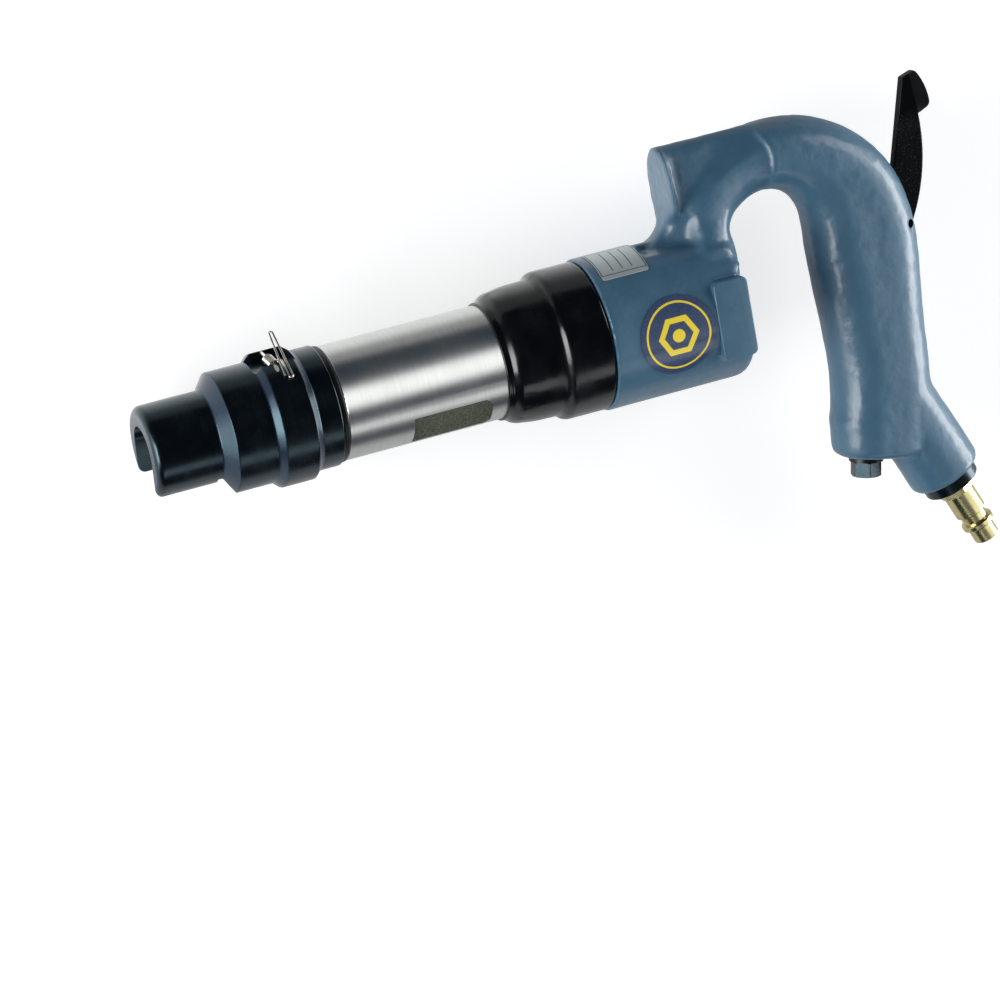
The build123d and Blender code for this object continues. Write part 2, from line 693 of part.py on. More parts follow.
def rod_seal():
    body = rod_on(VALVE, GUIDE_R - FIT, GUIDE_AT - 2.8, GUIDE_AT - FIT)
    return body - rod_on(VALVE, ROD_R + 0.05, GUIDE_AT - 4, GUIDE_AT + 1)


def valve_spring():
    along = Vector(*VALVE_UP)
    across = Vector(0, 0, 1)
    foot = SPRING_FOOT + SPRING_WIRE / 2 + 0.1
    head = SEAT_AT - POPPET_LEN - SPRING_WIRE / 2 - 0.4
    pitch = (head - foot) / SPRING_TURNS
    centre = Vector(*VALVE_FOOT, 0) + along * foot
    edges, first, last = coil_edges(
        centre, across, along.cross(across), along, SPRING_R, pitch, 0, 360 * SPRING_TURNS
    )
    print_wire_gap("valve_spring", edges, SPRING_WIRE)
    return wire_solid(edges, SPRING_WIRE)


def throttle_lever():
    along = Vector(*VALVE_UP)
    heel = Vector(*VALVE_FOOT, 0) + along * (ROD_TOP + HEEL_GAP + HEEL_R)
    front_top = (282.4, 68.6)
    peak = (288.2, 70.5)
    nose = (293.1, 55.4)
    notch = (287.0, 53.2)
    tail = (277.6, 11.6)
    blade = make_face([
        Polyline(tail, (269.0, 14.0), (267.2, 26.3), (273.4, 35.9), front_top, peak),
        ThreePointArc(peak, (291.9, 63.5), nose),
        Line(nose, notch),
        ThreePointArc(notch, (286.3, 37.5), tail),
    ])
    for corner, radius in ((front_top, 0.6), (peak, 1.6), (nose, 2.4)):
        blade = fillet(blade.vertices().sort_by_distance((*corner, 0))[0], radius)
    arm = make_hull([
        *(Pos(heel.X, heel.Y) * Circle(HEEL_R)).edges(),
        *(Pos(269.5, heel.Y - 1.0) * Circle(HEEL_R)).edges(),
    ])
    arm += Pos(*LEVER_PIVOT) * Circle(LEVER_BOSS_R)
    body = extrude(blade + arm, LEVER_THICK / 2, both=True)
    rims = [face.edges() for face in body.faces().filter_by(Axis.Z)]
    body = fillet([edge for rim in rims for edge in rim if (edge @ 0.5).Y > 30], LEVER_EDGE)
    ridge_top = (Vector(*peak) + Vector(*front_top)) * 0.5
    ridge = (Vector(*notch) - ridge_top).normalized()
    rearward = Vector(-ridge.Y, ridge.X, 0) * math.tan(math.radians(HEAD_TAPER))
    for side in (-1, 1):
        outward = Vector(0, 0, side)
        slope = Plane(origin=ridge_top + outward * (LEVER_THICK / 2), x_dir=ridge, z_dir=outward + rearward)
        body -= slope * Box(60, 60, 20, align=ON_END)
    return body - Pos(*LEVER_PIVOT, 0) * Cylinder(LEVER_PIN_R + FIT, 60)


def lever_pin():
    return Pos(*LEVER_PIVOT, 0) * Cylinder(LEVER_PIN_R, LEVER_PIN_LEN)


def inlet_bushing():
    body = rod_on(INLET, BUSH_RING_R, 0.05, BUSH_RING_LEN)
    body = fillet(body.edges(), 0.7)
    body += rod_on(INLET, BUSH_SPIGOT_R, -BUSH_SPIGOT_LEN, 1)
    return body - rod_on(INLET, PLUG_THREAD_R + FIT, -BUSH_SPIGOT_LEN - 1, BUSH_RING_LEN + 1)


def coupling_plug():
    stations = [
        (PLUG_THREAD_R, -9.0, BUSH_RING_LEN + 0.5),
        (PLUG_BODY_R, 8.0, 20.6),
        (PLUG_GROOVE_R, 20.0, 25.0),
        (PLUG_BEAD_R, 24.4, 27.0),
        (PLUG_TIP_R, 26.0, PLUG_TIP_END),
    ]
    body = hex_head(INLET, PLUG_HEX, BUSH_RING_LEN + FIT, 9.0)
    for radius, start, end in stations:
        body += chamfer(rod_on(INLET, radius, start, end).edges(), PLUG_EDGE)
    return body - rod_on(INLET, PLUG_BORE_R, -12, PLUG_TIP_END + 1)


def inlet_strainer():
    body = rod_on(INLET, INLET_R - FIT, -32, -BUSH_SPIGOT_LEN - 0.3)
    body -= rod_on(INLET, INLET_R - 0.7, -31, 0)
    for row in range(3):
        for index in range(6):
            turn = Rot(0, 0, 60 * index + 30 * (row % 2))
            hole = INLET * Pos(0, 0, -20 - 4 * row) * turn * Rot(0, 90, 0) * Cylinder(0.9, 10, align=ON_END)
            body -= hole
    return body


NODES = {
    "handle_casting": handle_casting,
    "badge_plate": badge_plate,
    "rating_plate": rating_plate,
    "barrel": barrel,
    "barrel_lock_ring": barrel_lock_ring,
    "exhaust_sleeve": exhaust_sleeve,
    "retainer": retainer,
    "retainer_seal": retainer_seal,
    "retainer_buffer": retainer_buffer,
    "latch_pin": latch_pin,
    "latch_spring": latch_spring,
    "tool_bushing": tool_bushing,
    "piston": piston,
    "valve_front_plate": valve_front_plate,
    "valve_box": valve_box,
    "valve_box_seal": valve_box_seal,
    "valve_dowels": lambda: dowel_pins(1.5),
    "distribution_valve": distribution_valve,
    "throttle_lever": throttle_lever,
    "lever_pin": lever_pin,
    "push_rod": push_rod,
    "rod_guide": rod_guide,
    "rod_seal": rod_seal,
    "valve_seat": valve_seat,
    "throttle_poppet": throttle_poppet,
    "valve_spring": valve_spring,
    "valve_cap": valve_cap,
    "cap_seal": cap_seal,
    "inlet_bushing": inlet_bushing,
    "inlet_strainer": inlet_strainer,
    "coupling_plug": coupling_plug,
}

os.makedirs("parts", exist_ok=True)
for node, make in NODES.items():
    export_step(make(), f"parts/{node}.step")
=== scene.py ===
import math

import bmesh
import bpy
import numpy as np
from mathutils import Matrix, Vector, noise


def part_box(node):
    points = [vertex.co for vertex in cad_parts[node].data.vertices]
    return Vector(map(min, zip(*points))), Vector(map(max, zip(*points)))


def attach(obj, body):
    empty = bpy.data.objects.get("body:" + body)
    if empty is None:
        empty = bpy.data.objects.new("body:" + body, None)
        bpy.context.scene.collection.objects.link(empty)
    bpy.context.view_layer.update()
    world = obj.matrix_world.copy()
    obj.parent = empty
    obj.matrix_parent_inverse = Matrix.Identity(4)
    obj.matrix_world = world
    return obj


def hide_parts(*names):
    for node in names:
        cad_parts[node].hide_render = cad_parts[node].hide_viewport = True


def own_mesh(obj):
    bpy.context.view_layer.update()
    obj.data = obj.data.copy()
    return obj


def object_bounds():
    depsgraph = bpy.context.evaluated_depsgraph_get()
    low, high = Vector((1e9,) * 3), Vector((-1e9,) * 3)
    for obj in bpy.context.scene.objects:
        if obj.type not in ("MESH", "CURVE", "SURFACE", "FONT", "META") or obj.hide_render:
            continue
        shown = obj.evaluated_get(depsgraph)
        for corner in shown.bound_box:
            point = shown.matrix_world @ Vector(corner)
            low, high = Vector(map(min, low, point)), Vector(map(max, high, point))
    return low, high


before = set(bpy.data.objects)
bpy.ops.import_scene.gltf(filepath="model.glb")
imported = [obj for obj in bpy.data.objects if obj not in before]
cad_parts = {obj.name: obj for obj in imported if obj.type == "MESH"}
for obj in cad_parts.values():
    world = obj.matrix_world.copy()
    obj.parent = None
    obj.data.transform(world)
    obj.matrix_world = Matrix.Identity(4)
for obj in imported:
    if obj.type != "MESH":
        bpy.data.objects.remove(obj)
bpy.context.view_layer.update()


# Barrel: a thick steel tube, ground round to a fine satin, with two wrench flats milled into it.
# It screws into the body behind and takes the retainer in front.
MM = 0.001
BARREL_LIGHT = (0.56, 0.57, 0.545, 1)
BARREL_DARK = (0.50, 0.51, 0.49, 1)
FLAT_COLOUR = (0.200, 0.215, 0.158, 1)
FLAT_SPECK = (0.090, 0.098, 0.070, 1)
BARREL_SATIN = (0.29, 0.03)
BARREL_GROOVES = 0.0016 * MM
FLAT_DEPTH = 20.9 * MM
FLAT_EDGE_R = 22.42 * MM
FLAT_EDGE = 0.1 * MM
FLAT_TRUE = 0.12 * MM
FLAT_ROUGHNESS = 0.72
FLAT_MARKS = 20.0
LONG_GROOVES = (5200.0, 90.0, 90.0)
WIDE_GROOVES = (900.0, 30.0, 30.0)


def mm(*lengths):
    """Lengths in metres from millimetres."""
    return tuple(length * MM for length in lengths)


def add_node(tree, kind, inputs=(), **settings):
    """Adds a node with its settings; each input is linked from a socket or set to a value."""
    node = tree.nodes.new(kind)
    for key, value in settings.items():
        setattr(node, key, value)
    for key, value in dict(inputs).items():
        if isinstance(value, bpy.types.NodeSocket):
            tree.links.new(value, node.inputs[key])
        else:
            node.inputs[key].default_value = value
    return node


def calc(tree, operation, *values):
    """One sum in a shader tree."""
    return add_node(tree, "ShaderNodeMath", dict(enumerate(values)), operation=operation).outputs[0]


def times(tree, first, second):
    """Product of two values."""
    return calc(tree, "MULTIPLY", first, second)


def vary(tree, mask, base, swing):
    """A value that rises from its base by a swing where a mask is one."""
    return calc(tree, "MULTIPLY_ADD", mask, swing, base)


def ramp(tree, value, low, high, to_low=0.0, to_high=1.0):
    """Smooth step of a value from one span to another."""
    inputs = {"Value": value, "From Min": low, "From Max": high, "To Min": to_low, "To Max": to_high}
    return add_node(tree, "ShaderNodeMapRange", inputs, interpolation_type="SMOOTHSTEP").outputs[0]


def mix_colour(tree, share, first, second):
    """Mixes two colours by a share from 0 to 1."""
    inputs = {0: share, 6: first, 7: second}
    return add_node(tree, "ShaderNodeMix", inputs, data_type="RGBA").outputs[2]


def mix_value(tree, share, first, second):
    """Mixes two values by a share from 0 to 1."""
    return add_node(tree, "ShaderNodeMix", {0: share, 2: first, 3: second}).outputs[0]


def axes_of(tree, place):
    """The three distances of a place."""
    return add_node(tree, "ShaderNodeSeparateXYZ", {0: place}).outputs


def reach_of(tree, first, second):
    """Distance from the middle, from two distances at right angles."""
    squares = calc(tree, "ADD", calc(tree, "POWER", first, 2), calc(tree, "POWER", second, 2))
    return calc(tree, "SQRT", squares)


def grain(tree, place, scale, detail=2.0, stretch=None):
    """Noise from 0 to 1 in object space; stretch scales the three directions apart."""
    if stretch:
        place = add_node(tree, "ShaderNodeMapping", {"Vector": place, "Scale": stretch}).outputs[0]
    inputs = {"Vector": place, "Scale": scale, "Detail": detail, "Roughness": 0.55}
    return add_node(tree, "ShaderNodeTexNoise", inputs).outputs[0]


def new_group(name, inputs, outputs):
    """Empty shader group with float or vector inputs and float outputs."""
    tree = bpy.data.node_groups.new(name, "ShaderNodeTree")
    for label, value in inputs.items():
        kind = "NodeSocketVector" if value is None else "NodeSocketFloat"
        socket = tree.interface.new_socket(label, in_out="INPUT", socket_type=kind)
        if value is not None:
            socket.default_value = value
    for label in outputs:
        tree.interface.new_socket(label, in_out="OUTPUT", socket_type="NodeSocketFloat")
    return tree, tree.nodes.new("NodeGroupInput").outputs, tree.nodes.new("NodeGroupOutput").inputs


def turned_lines_group():
    """Fine rings that a lathe or grinder leaves round the X axis."""
    tree, given, out = new_group("turned_lines", {"Vector": None, "Lines": 5200.0}, ["Height", "Tint"])
    long_marks = grain(tree, given["Vector"], 1.0, 3.0, LONG_GROOVES)
    wide_marks = grain(tree, given["Vector"], 1.0, 2.0, WIDE_GROOVES)
    specks = grain(tree, given["Vector"], given["Lines"], 1.0)
    both = vary(tree, wide_marks, long_marks, 0.6)
    tree.links.new(vary(tree, specks, both, 0.35), out["Height"])
    tree.links.new(ramp(tree, both, 0.55, 1.05), out["Tint"])
    return tree


def handled_group():
    """Soft uneven patches that handling leaves: fingers, oil and dust."""
    tree, given, out = new_group("handled", {"Vector": None, "Scale": 60.0}, ["Patches", "Dust"])
    patches = grain(tree, given["Vector"], given["Scale"], 4.0)
    dust = grain(tree, given["Vector"], 2600.0, 1.0)
    tree.links.new(ramp(tree, patches, 0.35, 0.7), out["Patches"])
    tree.links.new(ramp(tree, dust, 0.70, 0.78), out["Dust"])
    return tree


turned_lines = turned_lines_group()
handled = handled_group()


def new_finish(name, **sockets):
    """Material with a Principled shader, its fixed sockets set, and its object coordinates."""
    finish = bpy.data.materials.new(name)
    finish.use_nodes = True
    tree = finish.node_tree
    shader = tree.nodes["Principled BSDF"]
    for key, value in sockets.items():
        shader.inputs[key.replace("_", " ")].default_value = value
    place = tree.nodes.new("ShaderNodeTexCoord").outputs["Object"]
    return finish, tree, shader, place


def use_group(tree, group, **inputs):
    """Places a shader group in a material with its own values."""
    return add_node(tree, "ShaderNodeGroup", inputs, node_tree=group).outputs


def hands_on(tree, place, scale):
    """Marks of handling, with patches of a scale."""
    return use_group(tree, handled, Vector=place, Scale=scale)


def feed(tree, shader, **values):
    """Links each value to the shader's socket of that name."""
    for key, value in values.items():
        tree.links.new(value, shader.inputs[key.replace("_", " ")])


def set_bump(tree, shader, height, depth, strength=1.0):
    """Feeds a height from 0 to 1 into the shader's normal; depth is in metres."""
    bump = add_node(tree, "ShaderNodeBump", {"Height": height, "Distance": depth, "Strength": strength})
    tree.links.new(bump.outputs[0], shader.inputs["Normal"])


def coat(mesh, finish):
    """Makes a finish the only one of a mesh."""
    mesh.materials.clear()
    mesh.materials.append(finish)


def dress(finish, *nodes):
    """Gives CAD nodes their finish."""
    for node in nodes:
        coat(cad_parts[node].data, finish)


def barrel_finish():
    finish, tree, shader, place = new_finish("ground_steel", Metallic=1.0)
    lines = use_group(tree, turned_lines, Vector=place)
    hands = hands_on(tree, place, 45.0)
    axes = axes_of(tree, place)
    low = ramp(tree, reach_of(tree, axes[1], axes[2]), FLAT_EDGE_R, FLAT_EDGE_R - FLAT_EDGE)
    slant = times(tree, calc(tree, "SUBTRACT", axes[2], axes[1]), math.sqrt(0.5))
    on_plane = calc(tree, "COMPARE", calc(tree, "ABSOLUTE", slant), FLAT_DEPTH, FLAT_TRUE)
    flat = times(tree, low, on_plane)
    milled = grain(tree, place, 1500.0, 3.0)
    steel = mix_colour(tree, lines["Tint"], BARREL_DARK, BARREL_LIGHT)
    matt = mix_colour(tree, ramp(tree, milled, 0.35, 0.65), FLAT_SPECK, FLAT_COLOUR)
    satin = vary(tree, hands["Patches"], *BARREL_SATIN)
    feed(tree, shader, Base_Color=mix_colour(tree, flat, steel, matt),
         Roughness=mix_value(tree, flat, satin, FLAT_ROUGHNESS))
    height = mix_value(tree, flat, lines["Height"], times(tree, milled, FLAT_MARKS))
    set_bump(tree, shader, height, BARREL_GROOVES)
    return finish


dress(barrel_finish(), "barrel")


# Inside of the barrel: the hardened tool bushing, the free piston and, at the back, the valve group.
# All are turned or ground from bar and sit in the barrel and the body with sliding fits.
INNER_LIGHT = (0.58, 0.58, 0.58, 1)
INNER_DARK = (0.40, 0.40, 0.41, 1)
INNER_SATIN = (0.26, 0.12)
INNER_GROOVES = 0.01 * MM


def inner_finish():
    finish, tree, shader, place = new_finish("machined_steel", Metallic=1.0)
    lines = use_group(tree, turned_lines, Vector=place, Lines=3000.0)
    hands = hands_on(tree, place, 120.0)
    feed(tree, shader, Base_Color=mix_colour(tree, lines["Tint"], INNER_DARK, INNER_LIGHT),
         Roughness=vary(tree, hands["Patches"], *INNER_SATIN))
    set_bump(tree, shader, lines["Height"], INNER_GROOVES)
    return finish


dress(inner_finish(), "tool_bushing", "piston", "barrel_lock_ring", "valve_front_plate", "valve_box",
      "valve_dowels", "distribution_valve", "push_rod")


# Retainer: the nose cap that holds the tool, turned from steel and blacked, open to one side.
# The oiled finish is deep black on the straight lengths; on the sloping faces a blue sheen is painted into
# the base colour, a painted reflection.
BLACK = (0.0022, 0.0028, 0.0034, 1)
BLACK_WORN = (0.0060, 0.0075, 0.0095, 1)
# Painted reflection: the blue sheen colour painted on the sloping faces.
SLOPE_PAINTED_SHEEN = (0.011, 0.018, 0.036, 1)
SLOPES_X = ((-46.8, -45.6), (-20.4, -15.6), (-0.2, 2.7), (15.3, 18.0))
SLOPE_EDGE = 0.35 * MM
PAINTED_SHEEN_MOTTLE = (1.25, -0.5)
OIL_SHEEN = (0.55, 0.85, 1.0, 1)
BLACK_GLOSS = (0.22, 0.08)
BLACK_GROOVES = 0.006 * MM


def band(tree, value, low, high, edge):
    """One between two limits, with a soft edge."""
    rise = ramp(tree, value, low - edge, low + edge)
    return times(tree, rise, ramp(tree, value, high + edge, high - edge))


def painted_sheen_mask(tree, along):
    """One on the retainer's sloping faces, where the sheen is painted; nought elsewhere."""
    total = 0.0
    for start, end in SLOPES_X:
        total = calc(tree, "ADD", band(tree, along, start * MM, end * MM, SLOPE_EDGE), total)
    return total


def blacked_finish(name, with_painted_sheen):
    finish, tree, shader, place = new_finish(name, Specular_IOR_Level=0.6, Specular_Tint=OIL_SHEEN)
    lines = use_group(tree, turned_lines, Vector=place, Lines=3500.0)
    hands = hands_on(tree, place, 90.0)
    colour = mix_colour(tree, times(tree, hands["Patches"], lines["Tint"]), BLACK, BLACK_WORN)
    # Painted reflection: the sloping faces get a mottled blue sheen painted into their base colour.
    if with_painted_sheen:
        mottled = vary(tree, grain(tree, place, 420.0, 4.0), *PAINTED_SHEEN_MOTTLE)
        sheen = times(tree, painted_sheen_mask(tree, axes_of(tree, place)[0]), mottled)
        colour = mix_colour(tree, sheen, colour, SLOPE_PAINTED_SHEEN)
    feed(tree, shader, Base_Color=colour, Roughness=vary(tree, hands["Patches"], *BLACK_GLOSS))
    set_bump(tree, shader, lines["Height"], BLACK_GROOVES)
    return finish


dress(blacked_finish("blacked_nose", True), "retainer")


# Rubber rings: the seal behind the retainer, the buffer inside it and the small rings of the valves.
# Moulded black rubber, smooth, with a faint dusty bloom.
RUBBER = (0.0020, 0.0022, 0.0025, 1)
RUBBER_BLOOM = (0.0075, 0.0080, 0.0090, 1)
BLOOM_PATCHES = 0.4
BLOOM_DUST = 0.5
RUBBER_SWING = 0.12
RUBBER_SKIN = 0.05 * MM


def rubber_finish(name, base_roughness, gloss):
    finish, tree, shader, place = new_finish(name, Specular_IOR_Level=gloss)
    hands = hands_on(tree, place, 70.0)
    bloom = times(tree, hands["Patches"], BLOOM_PATCHES)
    bloom = vary(tree, hands["Dust"], bloom, BLOOM_DUST)
    feed(tree, shader, Base_Color=mix_colour(tree, bloom, RUBBER, RUBBER_BLOOM),
         Roughness=vary(tree, hands["Patches"], base_roughness, RUBBER_SWING))
    set_bump(tree, shader, grain(tree, place, 420.0, 3.0), RUBBER_SKIN, 0.5)
    return finish


dress(rubber_finish("ring_rubber", 0.36, 0.4),
      "retainer_seal", "retainer_buffer", "valve_box_seal", "rod_seal", "cap_seal")


# Exhaust sleeve: a moulded rubber hood that grips the barrel in front and the lock ring behind.
# It is glossy, with small creases where it is stretched over the shoulder.
SLEEVE_TURN = 192
SLEEVE_BORE_R = 22.55 * MM
SLEEVE_RING_R = 26.1 * MM
SLEEVE_STEP = 2.6 * MM
SLEEVE_ROOM = 1.55 * MM
SLEEVE_HOLD = 8.95 * MM
SLEEVE_ROUND = 2.2 * MM
SLEEVE_CREASE = 0.16 * MM
SLEEVE_WAVE = 0.10 * MM
CREASE_AT = 6.5 * MM
STEP_AT = 24.0 * MM
CREASE_SPREAD = 2.6 * MM
FOLDS_ROUND = 9
WAVES_ROUND = 1.6


def join_rings(shell, pairs):
    """Bridges pairs of rings with four-sided faces."""
    for first, second in pairs:
        for index in range(len(first)):
            after = (index + 1) % len(first)
            shell.faces.new((first[index], first[after], second[after], second[index]))


def lathe(points, turns, centre, along, closed=True):
    """Shape turned about an axis from (distance along, radius) points; closed joins the last to the first."""
    shell = bmesh.new()
    along = Vector(along).normalized()
    across = along.orthogonal().normalized()
    other = along.cross(across)
    rings = []
    for place, radius in points:
        ring = []
        for index in range(turns):
            angle = 2 * math.pi * index / turns
            out = across * math.cos(angle) + other * math.sin(angle)
            ring.append(shell.verts.new(Vector(centre) + along * place + out * radius))
        rings.append(ring)
    pairs = list(zip(rings, rings[1:]))
    if closed:
        pairs.append((rings[-1], rings[0]))
    join_rings(shell, pairs)
    if not closed:
        shell.faces.new(list(reversed(rings[0])))
        shell.faces.new(rings[-1])
    bmesh.ops.recalc_face_normals(shell, faces=shell.faces)
    return shell


def rounded(points, radius, steps=6):
    """Rounds each inner corner of an open chain of (distance, radius) points, where there is room for it."""
    chain = [Vector(point) for point in points]
    result = [points[0]]
    for before, corner, after in zip(chain, chain[1:], chain[2:]):
        back = before - corner
        ahead = after - corner
        reach = min(radius, 0.45 * back.length, 0.45 * ahead.length)
        start = corner + back.normalized() * reach
        end = corner + ahead.normalized() * reach
        for step in range(steps + 1):
            share = step / steps
            result.append(tuple(start.lerp(corner, share).lerp(corner.lerp(end, share), share)))
    result.append(points[-1])
    return result


def mesh_from(name, shell):
    """Plain mesh from a shell, which is freed."""
    mesh = bpy.data.meshes.new(name)
    shell.to_mesh(mesh)
    shell.free()
    return mesh


def add_object(name, data):
    """Puts a new object into the scene."""
    made = bpy.data.objects.new(name, data)
    bpy.context.scene.collection.objects.link(made)
    return made


def place_piece(name, mesh, finish, body, slot, *nodes, sharp):
    """Links a mesh as a piece that stands for CAD nodes, shaded round up to an angle in degrees."""
    coat(mesh, finish)
    mesh.shade_smooth()
    mesh.set_sharp_from_angle(angle=math.radians(sharp))
    piece = add_object(name, mesh)
    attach(piece, body)
    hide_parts(*nodes)
    return piece


def hump(values, middle, spread):
    """Round hump, one in its middle."""
    return np.exp(-((values - middle) / spread) ** 2)


def sleeve_mesh():
    low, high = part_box("exhaust_sleeve")
    outer = high.y
    neck = outer - SLEEVE_STEP
    length = high.x - low.x
    outline = [
        (0.0, SLEEVE_BORE_R),
        (0.0, SLEEVE_BORE_R + 0.85 * MM),
        (2.0 * MM, SLEEVE_BORE_R + 0.95 * MM),
        (4.9 * MM, neck - 1.05 * MM),
        (13.0 * MM, neck),
        (STEP_AT - 1.3 * MM, neck + 0.3 * MM),
        (STEP_AT + 1.1 * MM, outer),
        (length, outer),
        (length, SLEEVE_RING_R),
        (length - SLEEVE_HOLD, SLEEVE_RING_R),
        (length - SLEEVE_HOLD, SLEEVE_BORE_R + SLEEVE_ROOM),
        (9.0 * MM, SLEEVE_BORE_R + SLEEVE_ROOM),
        (7.0 * MM, SLEEVE_BORE_R),
    ]
    skin = lathe(rounded(outline, SLEEVE_ROUND, 8), SLEEVE_TURN, (low.x, 0, 0), (1, 0, 0))
    for vert in skin.verts:
        along = vert.co.x - low.x
        reach = math.hypot(vert.co.y, vert.co.z)
        if reach < neck - 3.2 * MM and along > 1.5 * MM:
            continue
        angle = math.atan2(vert.co.y, vert.co.z)
        crease = hump(along, CREASE_AT, CREASE_SPREAD)
        step = hump(along, STEP_AT, CREASE_SPREAD)
        around_x, around_y = math.cos(angle), math.sin(angle)
        folds = noise.noise(Vector((FOLDS_ROUND * around_x, FOLDS_ROUND * around_y, 1.7)))
        wave = noise.noise(Vector((WAVES_ROUND * around_x, WAVES_ROUND * around_y, along * 60)))
        sink = SLEEVE_CREASE * (crease + 0.5 * step) * (folds - 0.5) + SLEEVE_WAVE * (wave - 0.6)
        scale = 1 + sink / reach
        vert.co.y *= scale
        vert.co.z *= scale
    return mesh_from("sleeve", skin)


sleeve_rubber = rubber_finish("sleeve_rubber", 0.16, 0.5)
place_piece("sleeve", sleeve_mesh(), sleeve_rubber, "tool_body", "rubber", "exhaust_sleeve", sharp=50)


# Latch: a spring of bright drawn wire, coiled on a pin in the collar's slot.
# Its hairpin stands off as a finger hold, and its toe reaches through the collar into the barrel's groove.
WIRE_LIGHT = (0.80, 0.77, 0.72, 1)
WIRE_DARK = (0.52, 0.49, 0.45, 1)
LATCH_ANGLE = 81.0
LATCH_WIRE_R = 0.4 * MM
LATCH_HUB = Vector((7.5, 23.7436, 3.5075)) * MM
LATCH_COIL_R = 1.9 * MM
LATCH_PITCH = 1.36 * MM
LATCH_QUARTERS = 22
LATCH_LEG = 1.6 * MM
LATCH_TOE = 1.7 * MM
LATCH_TOE_R = 0.8 * MM
LATCH_EXIT = 1.9 * MM
LATCH_RUN_R = 26.93 * MM
LATCH_RUN_X = 10.45 * MM
LATCH_RUN = (62.6, 45.5)
LATCH_STAND = 135.0
LATCH_FOOT = 1.4 * MM
LATCH_CROWN = 0.7 * MM
LATCH_HAIRPIN = 20.2 * MM
LATCH_SIDES = 16
WIRE_GLOSS = (0.12, 0.14)
WIRE_MARKS = 0.01 * MM


def drawn_wire_finish():
    finish, tree, shader, place = new_finish("drawn_wire", Metallic=1.0)
    marks = grain(tree, place, 2600.0, 3.0)
    hands = hands_on(tree, place, 350.0)
    feed(tree, shader, Base_Color=mix_colour(tree, hands["Patches"], WIRE_LIGHT, WIRE_DARK),
         Roughness=vary(tree, hands["Patches"], *WIRE_GLOSS))
    set_bump(tree, shader, marks, WIRE_MARKS)
    return finish


def wire_tree():
    """Geometry nodes: round wire along a curve, with closed ends."""
    tree = bpy.data.node_groups.new("round_wire", "GeometryNodeTree")
    tree.interface.new_socket("Path", in_out="INPUT", socket_type="NodeSocketGeometry")
    radius = tree.interface.new_socket("Wire Radius", in_out="INPUT", socket_type="NodeSocketFloat")
    sides = tree.interface.new_socket("Sides", in_out="INPUT", socket_type="NodeSocketInt")
    finish = tree.interface.new_socket("Finish", in_out="INPUT", socket_type="NodeSocketMaterial")
    tree.interface.new_socket("Wire", in_out="OUTPUT", socket_type="NodeSocketGeometry")
    given = tree.nodes.new("NodeGroupInput").outputs
    inputs = {"Resolution": given["Sides"], 4: given["Wire Radius"]}
    circle = add_node(tree, "GeometryNodeCurvePrimitiveCircle", inputs)
    inputs = {"Curve": given["Path"], "Profile Curve": circle.outputs[0], "Fill Caps": True}
    swept = add_node(tree, "GeometryNodeCurveToMesh", inputs)
    whole = add_node(tree, "GeometryNodeRealizeInstances", {0: swept.outputs[0]})
    inputs = {"Geometry": whole.outputs[0], "Material": given["Finish"]}
    made = add_node(tree, "GeometryNodeSetMaterial", inputs)
    tree.links.new(made.outputs[0], tree.nodes.new("NodeGroupOutput").inputs[0])
    return tree, radius.identifier, sides.identifier, finish.identifier


def wire_mesh(name, points, radius, sides, finish):
    """Plain mesh of a round wire that follows points."""
    line = bpy.data.curves.new(name + "_line", "CURVE")
    line.dimensions = "3D"
    spline = line.splines.new("POLY")
    spline.points.add(len(points) - 1)
    for point, place in zip(spline.points, points):
        point.co = (*place, 1)
    carrier = add_object(name + "_line", line)
    tree, radius_id, sides_id, finish_id = wire_nodes
    nodes = carrier.modifiers.new("Wire", "NODES")
    nodes.node_group = tree
    nodes[radius_id] = radius
    nodes[sides_id] = sides
    nodes[finish_id] = finish
    solved = carrier.evaluated_get(bpy.context.evaluated_depsgraph_get())
    mesh = bpy.data.meshes.new_from_object(solved)
    mesh.name = name
    bpy.data.objects.remove(carrier)
    return mesh


def around(angle):
    """Direction away from the barrel's axis; the angle counts from the badge side towards the arch."""
    return Vector((0, math.sin(math.radians(angle)), math.cos(math.radians(angle))))


def arc_points(start, heading, end, steps=12):
    """Points on the arc that leaves start along heading and reaches end."""
    chord = end - start
    side = chord - heading * chord.dot(heading)
    radius = chord.length_squared / (2 * side.length)
    sweep = 2 * math.atan2(side.length, chord.dot(heading))
    side.normalize()
    angles = [sweep * step / steps for step in range(1, steps + 1)]
    return [start + heading * (radius * math.sin(a)) + side * (radius * (1 - math.cos(a))) for a in angles]


def bend_points(start, heading, end, end_heading):
    """Points on two arcs that leave start along one heading and reach end along another."""
    chord = end - start
    both = heading + end_heading
    bend = 2 * (1 - heading.dot(end_heading))
    reach = (math.sqrt(chord.dot(both) ** 2 + bend * chord.length_squared) - chord.dot(both)) / bend
    first = start + heading * reach
    second = end - end_heading * reach
    middle = (first + second) / 2
    return arc_points(start, heading, middle) + arc_points(middle, (second - first).normalized(), end)


